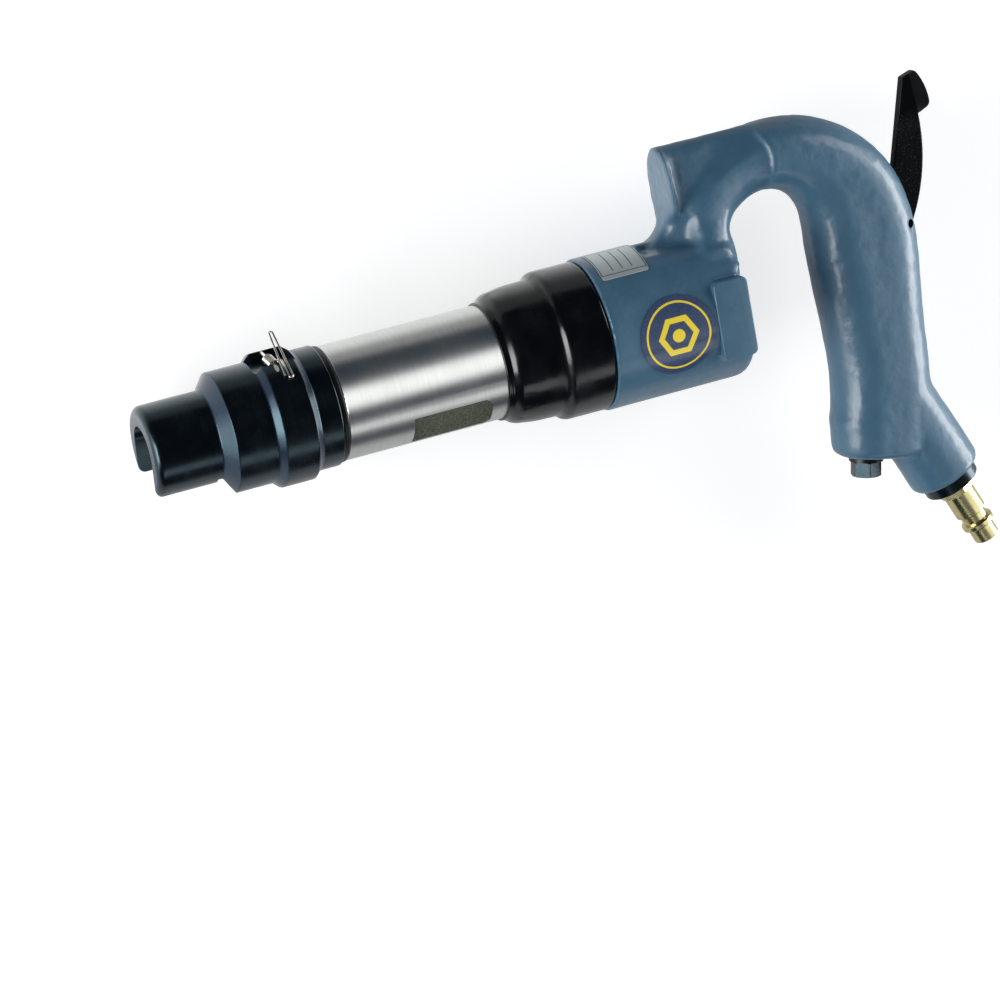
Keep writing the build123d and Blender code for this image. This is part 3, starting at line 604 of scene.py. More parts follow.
def latch_points():
    """Centre line of the latch: toe, leg, coil, run down the collar, foot, and the hairpin's two legs."""
    along = Vector((1, 0, 0))
    up = around(LATCH_ANGLE)
    axis = around(LATCH_ANGLE - 90)
    coil = []
    for step in range(LATCH_QUARTERS * 8 + 1):
        turn = math.radians(-90 - 11.25 * step)
        out = along * math.cos(turn) + up * math.sin(turn)
        coil.append(LATCH_HUB + out * LATCH_COIL_R + axis * (LATCH_PITCH * step / 32))
    climb = axis * (LATCH_PITCH / (2 * math.pi))
    heading = (climb - along * LATCH_COIL_R).normalized()
    last = (climb + along * LATCH_COIL_R).normalized()
    leg = coil[0] - heading * LATCH_LEG
    toe = leg - (heading + up) * LATCH_TOE_R
    points = [toe - up * LATCH_TOE, toe] + arc_points(toe, up, leg) + coil
    leave = coil[-1] + last * LATCH_EXIT
    run = [around(angle) * LATCH_RUN_R + along * LATCH_RUN_X for angle in np.linspace(*LATCH_RUN, 9)]
    points += [leave] + bend_points(leave, last, run[0], around(LATCH_RUN[0] - 90)) + run[1:]
    rise = around(LATCH_STAND)
    lean = math.asin((LATCH_FOOT - LATCH_CROWN) / LATCH_HAIRPIN)
    foot = run[-1] + along * LATCH_FOOT
    up_leg = rise * math.cos(lean) - along * math.sin(lean)
    points += bend_points(run[-1], around(LATCH_RUN[1] - 90), foot, up_leg)
    top = foot + up_leg * LATCH_HAIRPIN
    hub = top - (along * math.cos(lean) + rise * math.sin(lean)) * LATCH_CROWN
    far = hub + (rise * math.sin(lean) - along * math.cos(lean)) * LATCH_CROWN
    points += [top] + arc_points(top, up_leg, far)
    return points + [far - (rise * math.cos(lean) + along * math.sin(lean)) * (LATCH_HAIRPIN - 0.3 * MM)]


bright_wire = drawn_wire_finish()
wire_nodes = wire_tree()
latch_mesh = wire_mesh("latch_wire", latch_points(), LATCH_WIRE_R, LATCH_SIDES, bright_wire)
place_piece("latch_wire", latch_mesh, bright_wire, "latch_spring", "spring_steel", "latch_spring", sharp=50)
dress(bright_wire, "latch_pin")


# Handle casting: body, neck, arch, grip and inlet boss in one iron casting, filled and sprayed blue-grey.
# The sand mould leaves soft corners and slow waves under the paint, and the bores are drilled afterwards.
VOXEL = 0.8 * MM
VALVE_FOOT = Vector((242.5, -77.15, 0)) * MM
VALVE_LEAN = math.radians(10.0)
VALVE_UP = Vector((math.sin(VALVE_LEAN), math.cos(VALVE_LEAN), 0))
INLET_END = Vector((275.2, -92.8, 0)) * MM
INLET_LEAN = math.radians(24.0)
INLET_OUT = Vector((math.sin(INLET_LEAN), -math.cos(INLET_LEAN), 0))
LEVER_PIVOT = Vector((272.2, 13.2, 0)) * MM
LEVER_SLOT = 5.4 * MM
POCKET = ((262.4, 75), (262.4, 27), (253, 25.5), (253, 8.2), (283, 7.0), (300, 20), (300, 75))
BODY_R = 30.2 * MM
BODY_FRONT = 136.0 * MM
BODY_RIM = 1.0 * MM
BODY_END = 188.4 * MM
BODY_EDGE = 5.0 * MM
BODY_TAIL = 2.0 * MM
TAIL_FROM = mm(181, 191)
TAIL_TOP = mm(29, 21)
TAIL_END = 205 * MM
TAIL_SIDE = mm(15, 21)
TAIL_PADS = mm(18, 14)
PAD_MIDDLE = mm(185.95, -0.8)
PAD_HALF = mm(7.1, 15.6)
PAD_CORNER = 2.5 * MM
PAD_EDGE = 0.55 * MM
PAD_SPAN = mm(16.0, 30.8)
PAD_MARGIN = 2 * MM
PAD_ZONE = mm(15, 21)
LOOP_MIDDLE = Vector((215.5, 22.5, 0)) * MM
CORNER = Vector((274, -51, 0)) * MM
SMOOTH_ALL = 12
SMOOTH_BLENDS = 60
SMOOTH_ROOT = 6
RIM_SOFT = mm(139, 143)
RIM_SHARE = 0.12
RIM_ZONE = mm(142, 24)
RIM_FACE = 2 * MM
LUG_CRISP = 0.35
LUG_CRISP_X = mm(184, 180)
LUG_CRISP_Y = mm(40, 46)
CORNER_REACH = mm(22, 10)
CORNER_FROM = mm(262, 268)
ROOT_REACH = mm(28, 30)
ROOT_LOW = mm(14, 20)
ROOT_TOP = mm(37, 33)
ROOT_FRONT = mm(166, 172)
ROOT_BACK = mm(208, 204)
WAVE_DEPTH = 0.16 * MM
WAVE_SIZE = 10.0 * MM
DENT_DEPTH = 0.12 * MM
DENT_SIZE = 3.8 * MM
FOOT_RISE = 0.55 * MM
FOOT_HUMP = mm(15, 3.5)
FOOT_FROM = 225 * MM
HANDLE_REACH = mm(31, 37)
HANDLE_FROM = mm(194, 198)
CRESCENT_TURN = 85.0
CRESCENT_BEND = 4.5
CRESCENT_EDGE = 2.6
CRESCENT_DEPTH = 0.135
CRESCENT_RING = mm(29, 10)
CRESCENT_MOST = 1.2
CRESCENT_FADE = (150, 100)
CRESCENT_FROM = 180 * MM
LUG_HALF = 13.0
LUG_ROUND = (50.0, 16.2)
LUG_WIDENS = (34.5, 41)
LUG_BACK = 175.7
LUG_WEB = ((38, 44, 57, 61, 64, 65.5), (9.3, 9.3, 7.4, 6.2, 4.0, 1.0))
LUG_FACE = ((28.6, 31, 35, 41, 66), (164.5, 169, 172.6, 175, 175.5))
HOLLOW_HALF = 9.3
HOLLOW_SLOPE = (1, 2.5)
HOLLOW_END = (2.0, 40, 10)
VALLEY_AT = (177.3, 39.2)
VALLEY_LEAN = 1.05
NECK_FOOT = 4.0
NECK_CORNER = 4
NECK_LOW = 30.5
NECK_SIDE = ((172, 177.3, 180.5, 183.3, 184.3, 185.5, 187), (6.0, 8.4, 9.8, 12.4, 13.2, 13.75, 14.0))
NECK_BLEND = 8
LUG_BEHIND = (175.5, 181)
LUG_LOW = (33.5, 40)
LUG_LOW_BEHIND = (1.5, 2)
OVERHANG = (0.9, -0.55)
OVERHANG_LOW = 35
LUG_BOX = (160, 216)
LUG_BOX_LOW = 27.5
THINNEST = 0.5
FILL_FROM = 176.5
FILL_ABOVE = 0.3
FACES_OUT = 0.35
FACES_BACK = 0.5
FLARE_TOP = (38, 26)
FLARE_LOW = (21, 25.5)
FLARE_FRONT = (178.5, 184)
FLARE_BACK = (200, 195)
FLARE_SIDE = (4, 10)
PAINT = (0.043, 0.114, 0.180, 1)
PAINT_THIN = (0.050, 0.128, 0.200, 1)
PAINT_SATIN = (0.38, 0.08)
PAINT_DUST = 0.12
PAINT_LUMPS = 3.0
PAINT_SKIN = 0.10 * MM
STOPPERS = (
    ((0, 0, 0), (1, 0, 0), 136.0, 184.3, 22.4),
    (VALVE_FOOT, VALVE_UP, 1.5, 86.3, 6.6),
    (INLET_END, INLET_OUT, -16.6, -1.0, 9.5),
    (LEVER_PIVOT, (0, 0, 1), -10.4, 10.4, 2.3),
)
BORES = (
    ((0, 0, 0), (1, 0, 0), 96, ((131, 21.55), (184, 21.55))),
    (VALVE_FOOT, VALVE_UP, 48, ((-14, 6.05), (47, 6.05), (47, 5.05), (89.2, 5.05))),
    (INLET_END, INLET_OUT, 48, ((-55, 6.0), (-16.2, 6.0), (-16.2, 9.05), (5, 9.05))),
    (LEVER_PIVOT, (0, 0, 1), 40, ((-30, 1.75), (30, 1.75))),
)


def paint_finish():
    finish, tree, shader, place = new_finish("blue_grey_paint", Specular_IOR_Level=0.5,
                                             Coat_Weight=0.3, Coat_Roughness=0.16)
    hands = hands_on(tree, place, 55.0)
    cloud = ramp(tree, grain(tree, place, 90.0, 3.0), 0.3, 0.7)
    rough = vary(tree, hands["Patches"], *PAINT_SATIN)
    feed(tree, shader, Base_Color=mix_colour(tree, cloud, PAINT, PAINT_THIN),
         Roughness=vary(tree, hands["Dust"], rough, PAINT_DUST))
    peel = grain(tree, place, 520.0, 2.0)
    lumps = grain(tree, place, 150.0, 2.0)
    set_bump(tree, shader, vary(tree, lumps, peel, PAINT_LUMPS), PAINT_SKIN)
    return finish


def bored(points, turns, centre, along):
    """Closed turned shape from (distance, radius) points in millimetres."""
    return lathe([(place * MM, radius * MM) for place, radius in points], turns, centre, along, closed=False)


def casting_block():
    """The CAD casting with its bores stopped, so that only the outer skin is left to model."""
    block = bmesh.new()
    block.from_mesh(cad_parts["handle_casting"].data)
    bmesh.ops.remove_doubles(block, verts=block.verts, dist=0.002 * MM)
    for centre, along, start, end, radius in STOPPERS:
        stopper = mesh_from("stopper", bored(((start, radius), (end, radius)), 48, centre, along))
        block.from_mesh(stopper)
        bpy.data.meshes.remove(stopper)
    return block


def step_up(low, high, values):
    """Smooth step over an array; it falls where the first limit is the higher."""
    share = np.clip((values - low) / (high - low), 0, 1)
    return share * share * (3 - 2 * share)


def array_of(items, field):
    """Array of three numbers for each vertex."""
    flat = np.empty(len(items) * 3, np.float32)
    items.foreach_get(field, flat)
    return flat.reshape(-1, 3).astype(float)


def set_points(mesh, points):
    mesh.vertices.foreach_set("co", points.astype(np.float32).ravel())
    mesh.update()


def add_weights(carrier, name, weights):
    """Vertex group from an array of weights, in twenty steps."""
    group = carrier.vertex_groups.new(name=name)
    levels = np.round(weights * 20).astype(int)
    for level in range(1, 21):
        group.add(np.nonzero(levels == level)[0].tolist(), level / 20, "REPLACE")


def solved_mesh(carrier):
    """The carrier's mesh with its modifiers worked out and taken off."""
    solved = carrier.evaluated_get(bpy.context.evaluated_depsgraph_get())
    mesh = bpy.data.meshes.new_from_object(solved)
    carrier.modifiers.clear()
    old = carrier.data
    carrier.data = mesh
    bpy.data.meshes.remove(old)
    return mesh


def skin_over(carrier):
    """Wraps the carrier in one closed skin of even faces."""
    skin = carrier.modifiers.new("skin", "REMESH")
    skin.mode = "VOXEL"
    skin.voxel_size = VOXEL
    return solved_mesh(carrier)


def lug_side(x, y):
    """Half thickness of the lug, hollowed behind its face, and where the hollow's valley runs."""
    rounding = np.clip((y - LUG_ROUND[0]) / LUG_ROUND[1], 0, 1)
    plate = HOLLOW_HALF + (LUG_HALF * np.sqrt(1 - rounding ** 2) - HOLLOW_HALF) * step_up(*LUG_WIDENS, y)
    valley = VALLEY_AT[0] + VALLEY_LEAN * (y - VALLEY_AT[1])
    web = np.interp(y, *LUG_WEB)
    share = np.clip((x - LUG_BACK) / np.clip(valley - LUG_BACK, *HOLLOW_SLOPE), 0, 1)
    steep = HOLLOW_END[0] * np.exp(-(y - HOLLOW_END[1]) / HOLLOW_END[2])
    return np.where(x < valley, plate + (web - plate) * share, web + steep * (x - valley)), valley


def neck_side(x, y):
    """Half thickness of the neck below the lug, its front corners rounded."""
    corner = np.clip(np.interp(y, *LUG_FACE) + NECK_CORNER - x, 0, NECK_CORNER)
    under = np.clip(NECK_LOW - y, 0, NECK_CORNER)
    rounding = np.sqrt(NECK_CORNER ** 2 - corner ** 2) - np.sqrt(NECK_CORNER ** 2 - under ** 2)
    return np.interp(x, *NECK_SIDE) + rounding


def neck_flare(x, y, half):
    """Share of the flare where the neck's foot spreads into the body."""
    height = step_up(*FLARE_TOP, y) * step_up(*FLARE_LOW, y)
    return height * step_up(*FLARE_FRONT, x) * step_up(*FLARE_BACK, x) * step_up(*FLARE_SIDE, half)


def shape_lug(mesh):
    """Hollows the lug behind its face, draws the neck in below it and flares its foot; in millimetres."""
    points = array_of(mesh.vertices, "co")
    normals = array_of(mesh.vertex_normals, "vector")
    x, y, z = points.T / MM
    half = np.abs(z)
    upper, valley = lug_side(x, y)
    lower = neck_side(x, y)
    behind = step_up(*LUG_BEHIND, x)
    lean = OVERHANG[0] + OVERHANG[1] * behind
    upper = np.minimum(upper, lower + lean * np.clip(y - OVERHANG_LOW, 0, None))
    above = step_up(LUG_LOW[0] + LUG_LOW_BEHIND[0] * behind, LUG_LOW[1] + LUG_LOW_BEHIND[1] * behind, y)
    in_neck = x < NECK_SIDE[0][-1]
    target = np.where(in_neck, lower * (1 - above) + upper * above, np.inf)
    target = np.where(~in_neck & (above > 0), upper + NECK_BLEND * (1 - above), target)
    near = (y > LUG_BOX_LOW) & (x > LUG_BOX[0]) & (x < LUG_BOX[1]) & (half > 1)
    fill = near & (above > FILL_ABOVE) & (x > FILL_FROM) & (x < valley) & (half < target)
    fill &= (normals[:, 2] * np.sign(z) > FACES_OUT) | (normals[:, 0] > FACES_BACK)
    moved = np.where(fill | (near & (half > target)), np.clip(target, THINNEST, None), half)
    points[:, 2] = np.sign(z) * (moved + NECK_FOOT * neck_flare(x, y, half)) * MM
    set_points(mesh, points)


def soften(carrier):
    """Rounds every corner a little, the neck's root more, and the inlet boss's corner most."""
    x, y, z = array_of(carrier.data.vertices, "co").T
    rim = step_up(*RIM_SOFT, x)
    lug = step_up(*LUG_CRISP_Y, y) * step_up(*LUG_CRISP_X, x)
    add_weights(carrier, "all", (RIM_SHARE + (1 - RIM_SHARE) * rim) * (1 - LUG_CRISP * lug))
    corner = step_up(*CORNER_REACH, np.hypot(x - CORNER.x, y - CORNER.y))
    add_weights(carrier, "blends", corner * step_up(*CORNER_FROM, x))
    root = step_up(*ROOT_REACH, np.hypot(y, z)) * step_up(*ROOT_LOW, y) * step_up(*ROOT_TOP, y)
    add_weights(carrier, "root", root * step_up(*ROOT_FRONT, x) * step_up(*ROOT_BACK, x))
    for name, rounds in (("all", SMOOTH_ALL), ("blends", SMOOTH_BLENDS), ("root", SMOOTH_ROOT)):
        smooth = carrier.modifiers.new(name, "SMOOTH")
        smooth.factor = 0.5
        smooth.iterations = rounds
        smooth.vertex_group = name


def wobble(points, size, shift):
    """Slow noise about nought at each point."""
    move = Vector((shift, shift * 1.7, shift * 0.6))
    return np.array([noise.noise(Vector(point) / size + move) for point in points])


def crescent_share(x, y):
    """One past the faint crescent on the arch, fading out round the loop."""
    turn = np.degrees(np.arctan2(y - LOOP_MIDDLE.y, x - LOOP_MIDDLE.x))
    ring = np.hypot(y - LOOP_MIDDLE.y, x - LOOP_MIDDLE.x)
    bend = np.clip((ring - CRESCENT_RING[0]) / CRESCENT_RING[1], 0, CRESCENT_MOST) ** 2
    past = turn - (CRESCENT_TURN + CRESCENT_BEND * bend)
    share = step_up(-CRESCENT_EDGE, CRESCENT_EDGE, past) * step_up(*CRESCENT_FADE, turn)
    return share * (x > CRESCENT_FROM) * (y > LOOP_MIDDLE.y)


def tail_share(x, y, z):
    """One on the body's rear end, away from the pads and the neck."""
    pads = step_up(*TAIL_SIDE, np.abs(z)) * step_up(*TAIL_PADS, np.abs(y))
    return step_up(*TAIL_FROM, x) * step_up(*TAIL_TOP, y) * (x < TAIL_END) * (1 - pads)


def cast_marks(mesh):
    """Moves the skin as the mould left it: waves, dents, the crescent on the arch and the grip's foot."""
    points = array_of(mesh.vertices, "co")
    normals = array_of(mesh.vertex_normals, "vector")
    x, y, z = points.T
    reach = np.hypot(y, z)
    handle = np.clip(step_up(*HANDLE_REACH, reach) + step_up(*HANDLE_FROM, x), 0, 1)
    crescent = crescent_share(x, y)
    climb = (points - np.array(VALVE_FOOT)) @ np.array(VALVE_UP)
    foot = hump(climb, *FOOT_HUMP) * np.clip(-normals[:, 0], 0, 1) * (x > FOOT_FROM)
    move = WAVE_DEPTH * wobble(points, WAVE_SIZE, 3.1) + DENT_DEPTH * wobble(points, DENT_SIZE, 8.7)
    points += normals * (move * handle + FOOT_RISE * foot)[:, None]
    points[:, 2] *= 1 - CRESCENT_DEPTH * crescent
    points[:, 0] += BODY_TAIL * tail_share(x, y, z)
    front = (x < RIM_ZONE[0]) & (reach > RIM_ZONE[1])
    points[front] = on_rim(points[front])
    level_pads(points)
    set_points(mesh, points)


def level_pads(points):
    """Brings the body's sides back to their round where the pads are put on as crisp shapes of their own."""
    x, y, z = points.T
    sides = np.abs(x - PAD_MIDDLE[0]) < PAD_HALF[0] + PAD_MARGIN
    sides &= (np.abs(y) < PAD_ZONE[0]) & (np.abs(z) > PAD_ZONE[1])
    fall = np.clip(x[sides] - BODY_END, 0, BODY_EDGE * 0.99)
    limit = BODY_R - BODY_EDGE + np.sqrt(BODY_EDGE ** 2 - fall ** 2)
    scale = np.minimum(1, limit / np.hypot(y[sides], z[sides]))
    points[sides, 1] *= scale
    points[sides, 2] *= scale


def pad_ring(inset):
    """Rounded rectangle of the pad, drawn in by an inset."""
    ring = []
    for quarter, (side_x, side_y) in enumerate(((1, 1), (-1, 1), (-1, -1), (1, -1))):
        for step in range(7):
            angle = math.pi / 2 * (quarter + step / 6)
            reach = PAD_CORNER - inset
            across = PAD_MIDDLE[0] + side_x * (PAD_HALF[0] - PAD_CORNER) + reach * math.cos(angle)
            up = PAD_MIDDLE[1] + side_y * (PAD_HALF[1] - PAD_CORNER) + reach * math.sin(angle)
            ring.append((across, up))
    return ring


def pad_shell(side):
    """Flat pad on one side of the body, its edge rounded over."""
    shell = bmesh.new()
    levels = [(0.0, PAD_SPAN[0])]
    for step in range(6):
        angle = math.pi / 2 * step / 5
        levels.append((PAD_EDGE * (1 - math.cos(angle)), PAD_SPAN[1] - PAD_EDGE * (1 - math.sin(angle))))
    rings = [[shell.verts.new((*spot, side * level)) for spot in pad_ring(inset)] for inset, level in levels]
    join_rings(shell, zip(rings, rings[1:]))
    shell.faces.new(rings[0])
    shell.faces.new(rings[-1])
    bmesh.ops.recalc_face_normals(shell, faces=shell.faces)
    return shell


def on_rim(points):
    """Puts points of the body's front end on its true turned profile."""
    x, y, z = points.T
    reach = np.hypot(y, z)
    ahead = np.minimum(x - (BODY_FRONT + BODY_RIM), 0)
    out = reach - (BODY_R - BODY_RIM)
    corner = (ahead < 0) & (out > 0)
    length = np.hypot(ahead, out) + 1e-12
    new_x = np.where(corner, BODY_FRONT + BODY_RIM + ahead / length * BODY_RIM, x)
    new_r = np.where(corner, BODY_R - BODY_RIM + out / length * BODY_RIM, BODY_R)
    face = (out < 0) & (x < BODY_FRONT + RIM_FACE)
    new_x = np.where(face, BODY_FRONT, new_x)
    scale = np.where(face, reach, new_r) / reach
    return np.stack([new_x, y * scale, z * scale], 1)


def cut_or_join(carrier, shell, operation):
    """Cuts one closed shell out of the casting, or joins it on."""
    cutter = add_object("cutter", mesh_from("cutter", shell))
    cut = carrier.modifiers.new("cut", "BOOLEAN")
    cut.operation = operation
    cut.solver = "EXACT"
    cut.object = cutter
    solved_mesh(carrier)
    bpy.data.objects.remove(cutter)


def pocket_shell():
    """Block that the lever's slot is milled with."""
    shell = bmesh.new()
    sides = []
    for z in (-LEVER_SLOT / 2, LEVER_SLOT / 2):
        sides.append([shell.verts.new((px * MM, py * MM, z)) for px, py in POCKET])
    shell.faces.new(sides[0])
    shell.faces.new(list(reversed(sides[1])))
    join_rings(shell, [(sides[1], sides[0])])
    bmesh.ops.recalc_face_normals(shell, faces=shell.faces)
    return shell


def casting_mesh():
    """Stops the bores, makes and softens the skin, then adds the pads and drills the bores again."""
    carrier = add_object("casting_work", mesh_from("casting", casting_block()))
    shape_lug(skin_over(carrier))
    skin_over(carrier)
    soften(carrier)
    solved_mesh(carrier)
    carrier.vertex_groups.clear()
    cast_marks(carrier.data)
    for side in (-1, 1):
        cut_or_join(carrier, pad_shell(side), "UNION")
    for centre, along, turns, profile in BORES:
        cut_or_join(carrier, bored(profile, turns, centre, along), "DIFFERENCE")
    cut_or_join(carrier, pocket_shell(), "DIFFERENCE")
    mesh = carrier.data
    bpy.data.objects.remove(carrier)
    return mesh


place_piece("casting", casting_mesh(), paint_finish(), "tool_body", "casting_paint",
            "handle_casting", sharp=38)


# Foils on the body: a round navy badge on the side and a small silver plate in front of the neck.
# Both are thin printed films, stuck on; the badge has a plain hexagon in a ring, the plate only ruled lines.
BADGE_MIDDLE = mm(161.85, -1.65)
NAVY = (0.026, 0.048, 0.115, 1)
NAVY_FLECK = (0.055, 0.085, 0.165, 1)
YELLOW = (0.86, 0.66, 0.030, 1)
BADGE_RING = mm(12.6, 13.4)
BADGE_HEX = mm(5.2, 7.4)
BADGE_DOT = 2.6 * MM
SILVER = (0.46, 0.51, 0.51, 1)
PLATE_LINE = (0.05, 0.055, 0.06, 1)
PLATE_TURN = math.radians(73.0)
PLATE_FRAME = mm(9.0, 9.35)
PLATE_RULED = mm(7.6, 7.3)
PLATE_RULES = (-4.0, 0.0, 4.0)
RULE_HALF = 0.2
PRINT_EDGE = 0.12 * MM
FOIL_SKIN = 0.02 * MM


def badge_finish():
    finish, tree, shader, place = new_finish("navy_foil", Roughness=0.34,
                                             Coat_Weight=0.5, Coat_Roughness=0.12)
    axes = axes_of(tree, place)
    across = calc(tree, "SUBTRACT", axes[0], BADGE_MIDDLE[0])
    up = calc(tree, "SUBTRACT", axes[1], BADGE_MIDDLE[1])
    reach = reach_of(tree, across, up)
    spread = 0.0
    for turn in range(3):
        angle = math.radians(60 * turn + 30)
        along = times(tree, across, math.cos(angle))
        along = vary(tree, up, along, math.sin(angle))
        spread = calc(tree, "MAXIMUM", calc(tree, "ABSOLUTE", along), spread)
    ring = band(tree, reach, *BADGE_RING, PRINT_EDGE)
    hexagon = band(tree, spread, *BADGE_HEX, PRINT_EDGE)
    dot = ramp(tree, reach, BADGE_DOT + PRINT_EDGE, BADGE_DOT - PRINT_EDGE)
    printed = calc(tree, "MAXIMUM", calc(tree, "MAXIMUM", ring, hexagon), dot)
    flecks = ramp(tree, grain(tree, place, 2400.0, 2.0), 0.45, 0.7)
    field = mix_colour(tree, flecks, NAVY, NAVY_FLECK)
    feed(tree, shader, Base_Color=mix_colour(tree, printed, field, YELLOW))
    set_bump(tree, shader, grain(tree, place, 900.0), FOIL_SKIN)
    return finish


def plate_finish():
    finish, tree, shader, place = new_finish("silver_foil", Metallic=0.55, Roughness=0.42)
    axes = axes_of(tree, place)
    low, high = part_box("rating_plate")
    angle = calc(tree, "ARCTAN2", axes[1], axes[2])
    round_way = times(tree, calc(tree, "SUBTRACT", angle, PLATE_TURN), BODY_R)
    along = calc(tree, "SUBTRACT", axes[0], (low.x + high.x) / 2)
    inset = calc(tree, "MAXIMUM", calc(tree, "ABSOLUTE", along), calc(tree, "ABSOLUTE", round_way))
    lines = band(tree, inset, *PLATE_FRAME, PRINT_EDGE)
    inside = ramp(tree, inset, *PLATE_RULED)
    for row in PLATE_RULES:
        rule = band(tree, along, (row - RULE_HALF) * MM, (row + RULE_HALF) * MM, PRINT_EDGE)
        lines = calc(tree, "MAXIMUM", lines, times(tree, rule, inside))
    feed(tree, shader, Base_Color=mix_colour(tree, lines, SILVER, PLATE_LINE))
    set_bump(tree, shader, grain(tree, place, 700.0), FOIL_SKIN)
    return finish


dress(badge_finish(), "badge_plate")
dress(plate_finish(), "rating_plate")


# Throttle valve in the grip: a plastic poppet on a steel rod, bronze seat and guide, and a coil spring.
# A black hexagon plug closes the bore from below and carries the spring.
BRONZE_LIGHT = (0.66, 0.46, 0.24, 1)
BRONZE_DARK = (0.42, 0.28, 0.14, 1)
BRONZE_SATIN = (0.28, 0.15)
BRONZE_PATCHES = 140.0
LATHE_LINES = 2600.0
LATHE_GROOVES = 0.012 * MM
POPPET_WHITE = (0.76, 0.73, 0.66, 1)
POPPET_MARK = (0.60, 0.57, 0.50, 1)
POPPET_MATT = (0.42, 0.1)
POPPET_GRAIN = 0.02 * MM
SPRING_R = 3.3 * MM
SPRING_WIRE_R = 0.45 * MM
SPRING_SPAN = mm(4.55, 35.3)
SPRING_TURNS = 7
SPRING_STEPS = 28
SPRING_SIDES = 12


def lathed_finish(name, light, dark, patches, satin, turn=0.0):
    """Metal from the lathe, dulled in patches; turn swings the lathe's grooves about Z."""
    finish, tree, shader, place = new_finish(name, Metallic=1.0)
    aligned = add_node(tree, "ShaderNodeMapping", {"Vector": place, "Rotation": (0, 0, turn)}).outputs[0]
    lines = use_group(tree, turned_lines, Vector=aligned, Lines=LATHE_LINES)
    hands = hands_on(tree, place, patches)
    feed(tree, shader, Base_Color=mix_colour(tree, hands["Patches"], light, dark),
         Roughness=vary(tree, hands["Patches"], *satin))
    set_bump(tree, shader, lines["Height"], LATHE_GROOVES)
    return finish


def poppet_finish():
    finish, tree, shader, place = new_finish("turned_plastic", Specular_IOR_Level=0.4)
    hands = hands_on(tree, place, 200.0)
    feed(tree, shader, Base_Color=mix_colour(tree, hands["Patches"], POPPET_WHITE, POPPET_MARK),
         Roughness=vary(tree, hands["Dust"], *POPPET_MATT))
    set_bump(tree, shader, grain(tree, place, 1500.0), POPPET_GRAIN)
    return finish


def spring_points():
    """Centre line of the throttle spring."""
    across = Vector((0, 0, 1))
    other = VALVE_UP.cross(across)
    steps = SPRING_STEPS * SPRING_TURNS
    points = []
    for step in range(steps + 1):
        angle = 2 * math.pi * SPRING_TURNS * step / steps
        climb = SPRING_SPAN[0] + (SPRING_SPAN[1] - SPRING_SPAN[0]) * step / steps
        out = across * math.cos(angle) + other * math.sin(angle)
        points.append(VALVE_FOOT + VALVE_UP * climb + out * SPRING_R)
    return points


bronze = lathed_finish("turned_bronze", BRONZE_LIGHT, BRONZE_DARK, BRONZE_PATCHES, BRONZE_SATIN)
dress(bronze, "rod_guide", "valve_seat", "inlet_strainer")
dress(poppet_finish(), "throttle_poppet")
dress(blacked_finish("blacked_cap", False), "valve_cap")
spring_mesh = wire_mesh("throttle_spring", spring_points(), SPRING_WIRE_R, SPRING_SIDES, bright_wire)
throttle_spring = place_piece("throttle_spring", spring_mesh, bright_wire, "tool_body", "spring_steel",
                              "valve_spring", sharp=50)
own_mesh(throttle_spring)


# Lever: a flat black blade that turns on a pin in the handle and presses the rod.
# It is cut from plate, its edges rounded, and coated with a fine sparkling grain.
LEVER_BLACK = (0.0035, 0.0037, 0.0040, 1)
LEVER_FLECK = (0.085, 0.090, 0.095, 1)
BLADE_END = mm(58, 50)
TIP_ROUGHNESS = 0.20
BLADE_ROUGHER = 0.16
LEVER_PATCHES = 0.06
LEVER_GRAIN = 0.05 * MM


def lever_finish():
    finish, tree, shader, place = new_finish("grained_black", Specular_IOR_Level=0.12)
    hands = hands_on(tree, place, 80.0)
    flecks = ramp(tree, grain(tree, place, 1900.0, 2.0), 0.60, 0.74)
    blade = ramp(tree, axes_of(tree, place)[1], *BLADE_END)
    flecks = times(tree, flecks, blade)
    rough = vary(tree, blade, TIP_ROUGHNESS, BLADE_ROUGHER)
    feed(tree, shader, Base_Color=mix_colour(tree, flecks, LEVER_BLACK, LEVER_FLECK),
         Roughness=vary(tree, hands["Patches"], rough, LEVER_PATCHES))
    set_bump(tree, shader, times(tree, grain(tree, place, 1500.0, 2.0), blade), LEVER_GRAIN)
    return finish


dress(lever_finish(), "throttle_lever")
dress(blacked_finish("blacked_pin", False), "lever_pin")


# Air inlet: a black threaded ring in the end of the boss, and the quick-connect plug screwed into it.
# The plug is brass, turned, with a hexagon for the spanner, and nickelled to a warm pale colour.
PLUG_LIGHT = (0.62, 0.55, 0.29, 1)
PLUG_DARK = (0.46, 0.39, 0.18, 1)
PLUG_GLOSS = (0.20, 0.12)
PLUG_PATCHES = 130.0
PLUG_TURN = math.pi / 2 - INLET_LEAN

dress(blacked_finish("blacked_ring", False), "inlet_bushing")
nickelled = lathed_finish("nickelled_brass", PLUG_LIGHT, PLUG_DARK, PLUG_PATCHES, PLUG_GLOSS, PLUG_TURN)
dress(nickelled, "coupling_plug")


